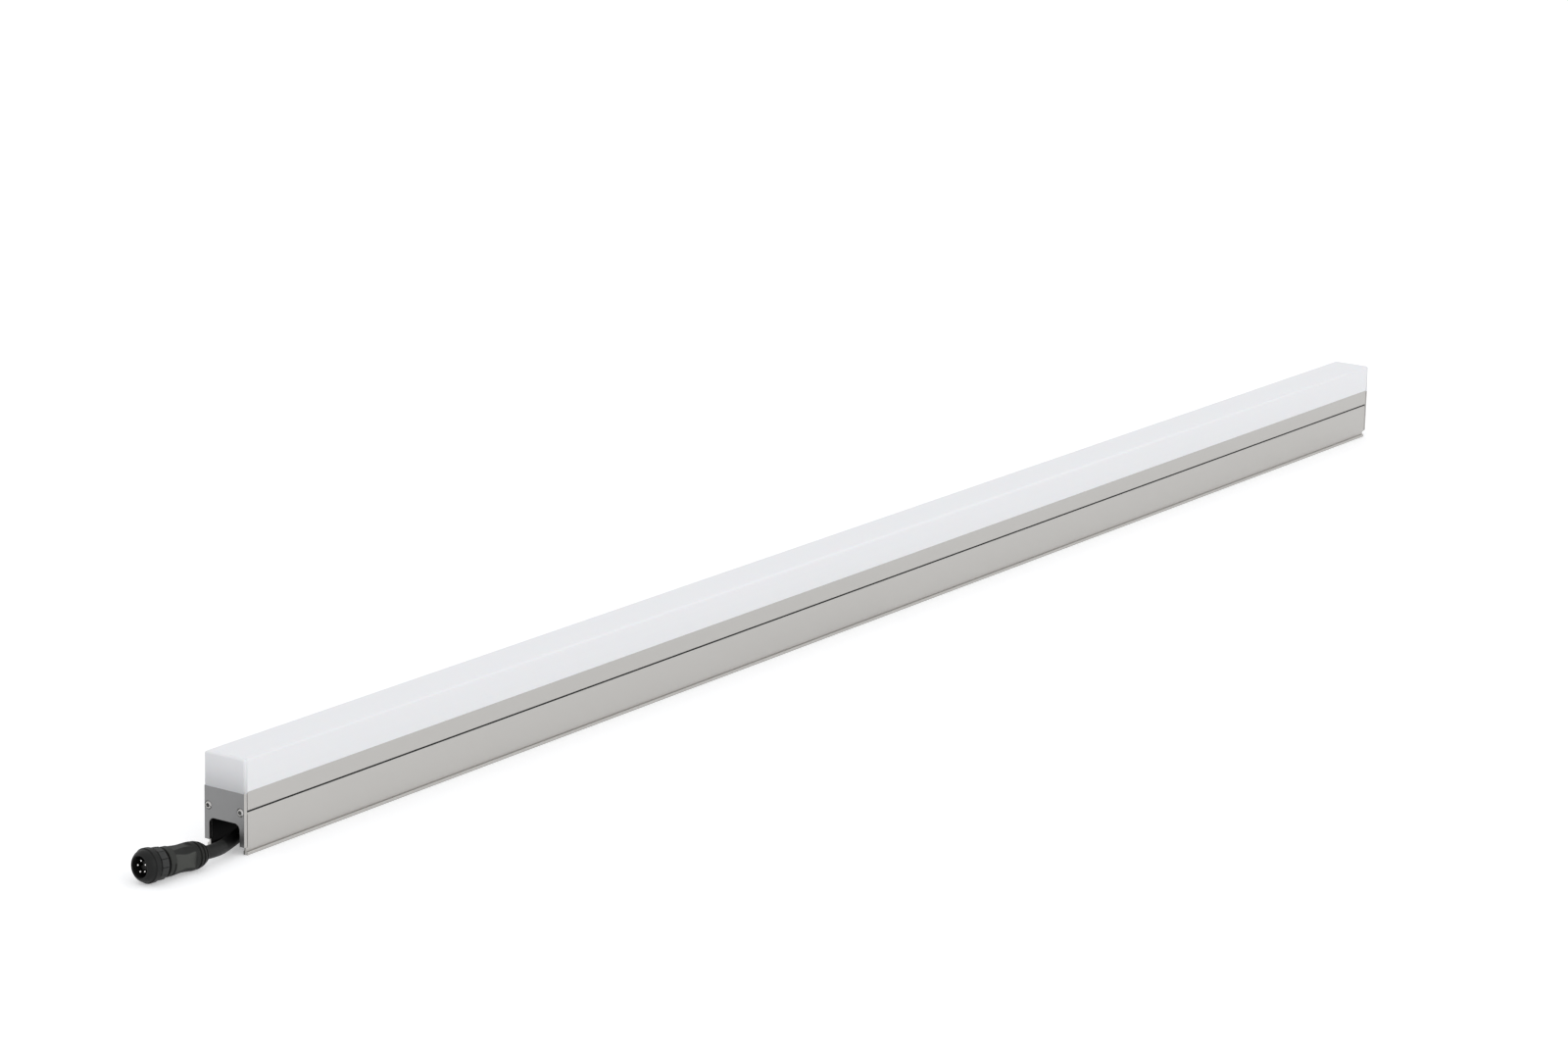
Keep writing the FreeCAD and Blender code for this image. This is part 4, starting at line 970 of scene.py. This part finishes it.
def scaled(outline):
    """An outline in millimetres, in metres."""
    return [(along * MM, radius * MM) for along, radius in outline]


# %% Coupling nut
MOUTH_BORE, LIP, LIP_LENGTH, BORE = 4.4, 5.1, 0.7, 4.8
DOME, COLLAR, GAP, GRIP, FLANGE_BORE = 6.95, 7.45, 6.3, 7.05, 4.18
DOME_END, COLLAR_END, GRIP_START, NUT_END = 3.2, 5.8, 6.7, 10.4
THREAD_START, THREAD_END, BORE_END = 1.0, 4.6, 8.0
THREADS, THREAD_DEPTH = 5, 0.16
EASE = 0.15
GRIP_BED = GRIP - 0.6
NUT_STEPS = 144


def nut_outline():
    """Lip, domed nose, collar, gap and grip bed, back through the bore and its thread."""
    outline = [(LIP_LENGTH, MOUTH_BORE)]
    outline += bent((LIP_LENGTH, MOUTH_BORE), (0, LIP), 0.2, 6)
    outline += bent((0, LIP), (DOME_END - 0.05, DOME), 0.42, 16)
    outline += [(DOME_END, DOME + 0.03), (DOME_END + 0.04, COLLAR - 0.16),
                (DOME_END + 0.22, COLLAR), (COLLAR_END - EASE, COLLAR),
                (COLLAR_END, COLLAR - EASE), (COLLAR_END + 0.03, GAP + EASE),
                (COLLAR_END + 0.18, GAP), (GRIP_START, GAP), (GRIP_START + 0.02, GRIP_BED),
                (NUT_END - EASE, GRIP_BED), (NUT_END, GRIP_BED - EASE),
                (NUT_END, FLANGE_BORE), (BORE_END, FLANGE_BORE), (BORE_END, BORE),
                (THREAD_END, BORE), (THREAD_END, MOUTH_BORE)]
    pitch = (THREAD_END - THREAD_START) / THREADS
    for turn in range(THREADS):
        for share, depth in ((0.2, 0), (0.5, THREAD_DEPTH), (0.6, THREAD_DEPTH), (0.9, 0)):
            outline.append((THREAD_END - (turn + share) * pitch, MOUTH_BORE + depth))
    return outline


def shade_bore(shape, reach):
    """Mark what lies within a reach of the axis, so that painted shade turns it black there."""
    shade = shape.verts.layers.float.new("shade")
    for vertex in shape.verts:
        vertex[shade] = float(math.hypot(vertex.co.y, vertex.co.z) < reach)
    return shape


BORE_SHADE = 4.95 * MM
# Painted shade: the nut's bore and mouth are painted black.
blend_tone(collar_moulding, PAINTED_SHADE_BLACK, "shade")
nut_shape = shade_bore(spin(scaled(nut_outline()), NUT_STEPS, closed=True), BORE_SHADE)
nut = as_object(nut_shape, "coupling_nut_shell", PLUG_FRAME)
soften(nut, 0.07 * MM, sharp=40)
dress(nut, COUPLING, "plug_moulding", collar_moulding, "coupling_nut")
print("nut:", len(nut.data.polygons), "faces")

# %% [markdown]
# The nut's grip is a ring of shallow pads with a narrow gap between neighbours. One pad is a
# slice of the ring with rounded edges, and the geometry tree lays the copies around the axis.

# %% Grip pads
PADS = 12
PAD_SHARE = 0.93
PAD_FOOT, PAD_DROP, PAD_EDGE = 6.4, 0.12, 0.14


def pad_shape():
    """One slice of the grip: flat on its crown, with its four edges drawn in."""
    shape = bmesh.new()
    half_turn = math.pi / PADS * PAD_SHARE
    flat = GRIP * math.cos(math.pi / PADS)
    front, rear, crown = GRIP_START + 0.02, NUT_END - 0.02, flat + 0.02
    rows = [(front, PAD_FOOT, 1), (front, flat - PAD_DROP, 1), (front + PAD_EDGE, crown, 0.94),
            (rear - PAD_EDGE, crown, 0.94), (rear, flat - PAD_DROP, 1), (rear, PAD_FOOT, 1)]
    grid = []
    for along, height, narrow in rows:
        row = []
        for share in (-1, -0.9, -0.5, 0, 0.5, 0.9, 1):
            side = flat * math.tan(half_turn * share) * narrow
            drop = PAD_EDGE if abs(share) == 1 else 0
            row.append(shape.verts.new((along * MM, side * MM, (height - drop) * MM)))
        grid.append(row)
    for one, other in zip(grid, grid[1:]):
        for step in range(len(one) - 1):
            shape.faces.new((one[step], one[step + 1], other[step + 1], other[step]))
    for column in (0, -1):
        side = [row[column] for row in grid]
        shape.faces.new(side if column else list(reversed(side)))
    shape.faces.new((grid[0][0], grid[0][-1], grid[-1][-1], grid[-1][0]))
    return smoothed(shape)


pad_places = [((0, 0, 0), (2 * math.pi * (step + 0.5) / PADS, 0, 0)) for step in range(PADS)]
pads = copied("grip_pads", as_object(pad_shape(), "pad_pattern"), pad_places, grip_moulding)
pads.data.transform(PLUG_FRAME)
soften(pads, 0.05 * MM, sharp=50)
dress(pads, COUPLING, "plug_moulding", None, "coupling_nut")
print(PADS, "grip pads")

# %% [markdown]
# The body behind the nut is round at both ends, slimmer at its waist, and has flats for the
# fingers. It is spun first, and then every vertex that stands beyond a flat is brought back
# to it, with the flats fading out at their ends as a moulded shape does. A short curved
# groove marks the front of the body on each side.

# %% Plug body
BODY, WAIST, HIP, TAIL, SHOULDER_RADIUS = 6.4, 5.85, 6.1, 3.9, 5.4
SHOULDER, BODY_FRONT, BODY_PEAK, HIP_AT, PLUG_END = 10.5, 11.9, 14.6, 26.8, 34.5
NECK, SNAP, SPIGOT, CARRIER_BORE = 4.1, 4.6, 3.85, 3.45
SPIGOT_FRONT, SNAP_FRONT, SNAP_REAR, CARRIER_REAR = 5.0, 7.1, 7.9, 12.4
ROUNDING = 0.3
BODY_POINTS, BODY_STEPS = 56, 160
SIDE_FLAT, TOP_FLAT = 5.15, 5.35
FLAT_START, FLAT_END, FLAT_FADE = 15.4, 25.6, 0.5
TAIL_RIBS, TAIL_CURVE, TAIL_GROOVE = 3, 2.6, 0.5
PANEL_FADE, FRONT_SHARE = 0.25, 0.35
INNER_FORMS, GROOVE_WALL = 4.5, 5.5
MARK_AT, MARK_WIDTH, MARK_DEPTH, MARK_STEEPNESS = 14.3, 0.45, 0.5, 1.8
MARK_LOW, LOW_FADE, MARK_HIGH, HIGH_FADE = -6, 5, 66, 10


def body_outline():
    """Spigot, snap ring, neck and shoulder in front, then the waisted body and its tail."""
    outline = [(CARRIER_REAR, 0), (CARRIER_REAR, CARRIER_BORE), (SPIGOT_FRONT, CARRIER_BORE),
               (SPIGOT_FRONT, SPIGOT), (SNAP_FRONT, SPIGOT), (SNAP_FRONT, SNAP - 0.2),
               (SNAP_FRONT + 0.2, SNAP), (SNAP_REAR, SNAP), (SNAP_REAR, NECK),
               (SHOULDER, NECK), (SHOULDER, SHOULDER_RADIUS), (BODY_FRONT, SHOULDER_RADIUS),
               (BODY_FRONT, BODY - ROUNDING)]
    rounded = BODY_FRONT + ROUNDING
    outline += bent((BODY_FRONT, BODY - ROUNDING), (rounded, BODY), 0.09, 4)
    for step in range(1, BODY_POINTS + 1):
        along = rounded + (HIP_AT - rounded) * step / BODY_POINTS
        share = max(0, (along - BODY_PEAK) / (HIP_AT - BODY_PEAK))
        sag = (BODY - WAIST - (BODY - HIP) / 2) * math.sin(math.pi * share) ** 2
        outline.append((along, BODY - (BODY - HIP) * share - sag))
    return outline + tail_outline() + [(PLUG_END, TAIL), (PLUG_END, 0)]


def tail_outline():
    """Rings that shrink to the cable, with a groove after each."""
    outline = []
    for rib in range(TAIL_RIBS):
        for part, depth in ((0.15, 0), (0.3, 0), (0.45, 0), (0.52, 0.06), (0.55, 1), (0.7, 1),
                            (0.85, 1), (0.97, 1), (1.0, 0.06)):
            share = (rib + part) / (TAIL_RIBS + 0.45)
            radius = HIP - (HIP - TAIL) * share ** TAIL_CURVE
            outline.append((HIP_AT + (PLUG_END - HIP_AT) * share, radius - TAIL_GROOVE * depth))
    return outline


def pressed(value, limit):
    """A distance to either side of the axis, held within a limit."""
    return math.copysign(min(abs(value), limit), value)


def shape_body(shape):
    """Press the flats and the two short grooves into the body, and mark where painted light
    lightens its side panels and painted shade darkens the groove behind the nut.
    """
    painted_light_and_shade = shape.verts.layers.float.new("painted_light_and_shade")
    shade = shape.verts.layers.float.new("shade")
    for vertex in shape.verts:
        along, side, up = (component / MM for component in vertex.co)
        radius = math.hypot(side, up)
        in_groove = SHOULDER - 0.1 < along < BODY_FRONT + 0.1 and radius < GROOVE_WALL
        vertex[shade] = float(in_groove)
        if radius < INNER_FORMS or along < BODY_FRONT:
            continue
        fade = max(FLAT_START - along, along - FLAT_END, 0) / FLAT_FADE
        if fade < 1:
            ease = fade * fade * (3 - 2 * fade)
            reach = abs(side)
            side = pressed(side, SIDE_FLAT + (BODY - SIDE_FLAT) * ease)
            up = pressed(up, TOP_FLAT + (BODY - TOP_FLAT) * ease)
            beyond = (reach - SIDE_FLAT + PANEL_FADE) / PANEL_FADE
            vertex[painted_light_and_shade] = (1 - ease) * max(0, min(1, beyond))
        elif along < BODY_PEAK + 0.3:
            vertex[painted_light_and_shade] = FRONT_SHARE
        mark = max(0, 1 - abs(along - MARK_AT) / MARK_WIDTH)
        slope = math.degrees(math.atan2(-up, abs(side)))
        span = max(0, min(1, (slope - MARK_LOW) / LOW_FADE, (MARK_HIGH - slope) / HIGH_FADE))
        if mark and span:
            shrink = 1 - MARK_DEPTH * min(1, mark * MARK_STEEPNESS) * span / radius
            side, up = side * shrink, up * shrink
            vertex[painted_light_and_shade] = 0
        vertex.co = (along * MM, side * MM, up * MM)


# %% Body with painted light on its side panels and painted shade in the groove behind the nut
PANEL_LIGHT_TONE = (0.066, 0.068, 0.062)
blend_tone(plug_moulding, PANEL_LIGHT_TONE, "painted_light_and_shade")
# Painted shade: the groove between the nut and the body is painted black.
blend_tone(plug_moulding, PAINTED_SHADE_BLACK, "shade")
body_shape = spin(scaled(body_outline()), BODY_STEPS, closed=False)
shape_body(body_shape)
plug_body = as_object(body_shape, "plug_moulded_body", PLUG_FRAME)
soften(plug_body, 0.06 * MM, sharp=35)
dress(plug_body, LIGHT, "plug_moulding", plug_moulding, "plug_body")
print("plug body:", len(plug_body.data.polygons), "faces")

# %% [markdown]
# Inside the nut sits a black carrier with a shallow dish in its face, and a rubber ring lies
# on the spigot round it, where the mating half presses. Both are spun as well.

# %% Insert and seal
INSERT, INSERT_FRONT = 3.4, 3.8
DISH, DISH_DEPTH = 1.5, 0.2
ROUND_STEPS = 96
insert_outline = [(CARRIER_REAR, 0), (CARRIER_REAR, INSERT), (INSERT_FRONT + EASE, INSERT),
                  (INSERT_FRONT, INSERT - EASE), (INSERT_FRONT, DISH),
                  (INSERT_FRONT + DISH_DEPTH, DISH - 0.1), (INSERT_FRONT + DISH_DEPTH, 0)]
insert_shape = spin(scaled(insert_outline), ROUND_STEPS, closed=False)
insert = as_object(insert_shape, "pin_carrier", PLUG_FRAME)
soften(insert, 0.06 * MM, sharp=35)
dress(insert, LIGHT, "pin_carrier", carrier_black, "plug_insert")

SEAL_AT, SEAL_MIDDLE, SEAL_TUBE, SEAL_CORNERS = 6.4, 4.275, 0.42, 16
ring = []
for step in range(SEAL_CORNERS):
    angle = 2 * math.pi * step / SEAL_CORNERS
    ring.append((SEAL_AT + SEAL_TUBE * math.cos(angle),
                 SEAL_MIDDLE + SEAL_TUBE * math.sin(angle)))
seal = as_object(spin(scaled(ring), ROUND_STEPS, closed=True), "seal_ring", PLUG_FRAME)
dress(seal, LIGHT, "seal_rubber", seal_rubber, "plug_seal")
print("insert and seal set")

# %% [markdown]
# Five round pins stand in a circle inside the nut. One pin, with a tapered and rounded tip, is
# spun from its outline, and the geometry tree sets the five in their circle. Only the tips
# catch the light: down in the dark mouth the shafts are painted black as shade.

# %% Pins
PINS, PIN_TURN, PIN_STEPS = 5, 104, 32
PIN, PIN_CIRCLE, PIN_FRONT, PIN_TIP = 0.5, 2.5, 1.1, 0.7
pin_outline = [(PIN_FRONT, 0), (PIN_FRONT + 0.03, PIN * 0.35), (PIN_FRONT + 0.14, PIN * 0.66),
               (PIN_FRONT + 0.5, PIN * 0.95), (PIN_FRONT + 0.8, PIN), (CARRIER_REAR, PIN),
               (CARRIER_REAR, 0)]
pin_shape = spin(scaled(pin_outline), PIN_STEPS, closed=False)
shaft_shade = pin_shape.verts.layers.float.new("shade")
for vertex in pin_shape.verts:
    vertex[shaft_shade] = float(vertex.co.x > (PIN_FRONT + PIN_TIP) * MM)
# Painted shade: the pins' shafts behind the tips are painted black.
blend_tone(tinned_brass, PAINTED_SHADE_BLACK, "shade")
pin = as_object(pin_shape, "pin_pattern")
pin_places = []
for step in range(PINS):
    angle = math.radians(180 - PIN_TURN + 360 * step / PINS)
    place = (0, PIN_CIRCLE * MM * math.cos(angle), PIN_CIRCLE * MM * math.sin(angle))
    pin_places.append((place, (0, 0, 0)))
pins = copied("contact_pins", pin, pin_places, tinned_brass)
pins.data.transform(PLUG_FRAME)
dress(pins, LIGHT, "contact_pin", None, "plug_pins")
print(PINS, "pins")

# %% [markdown]
# ## The lead's finish
#
# The lead gets its jacket finish and joins the light's body, in place of the measured lead.

dress(lead, LIGHT, "cable_jacket", cable_jacket, "lead")
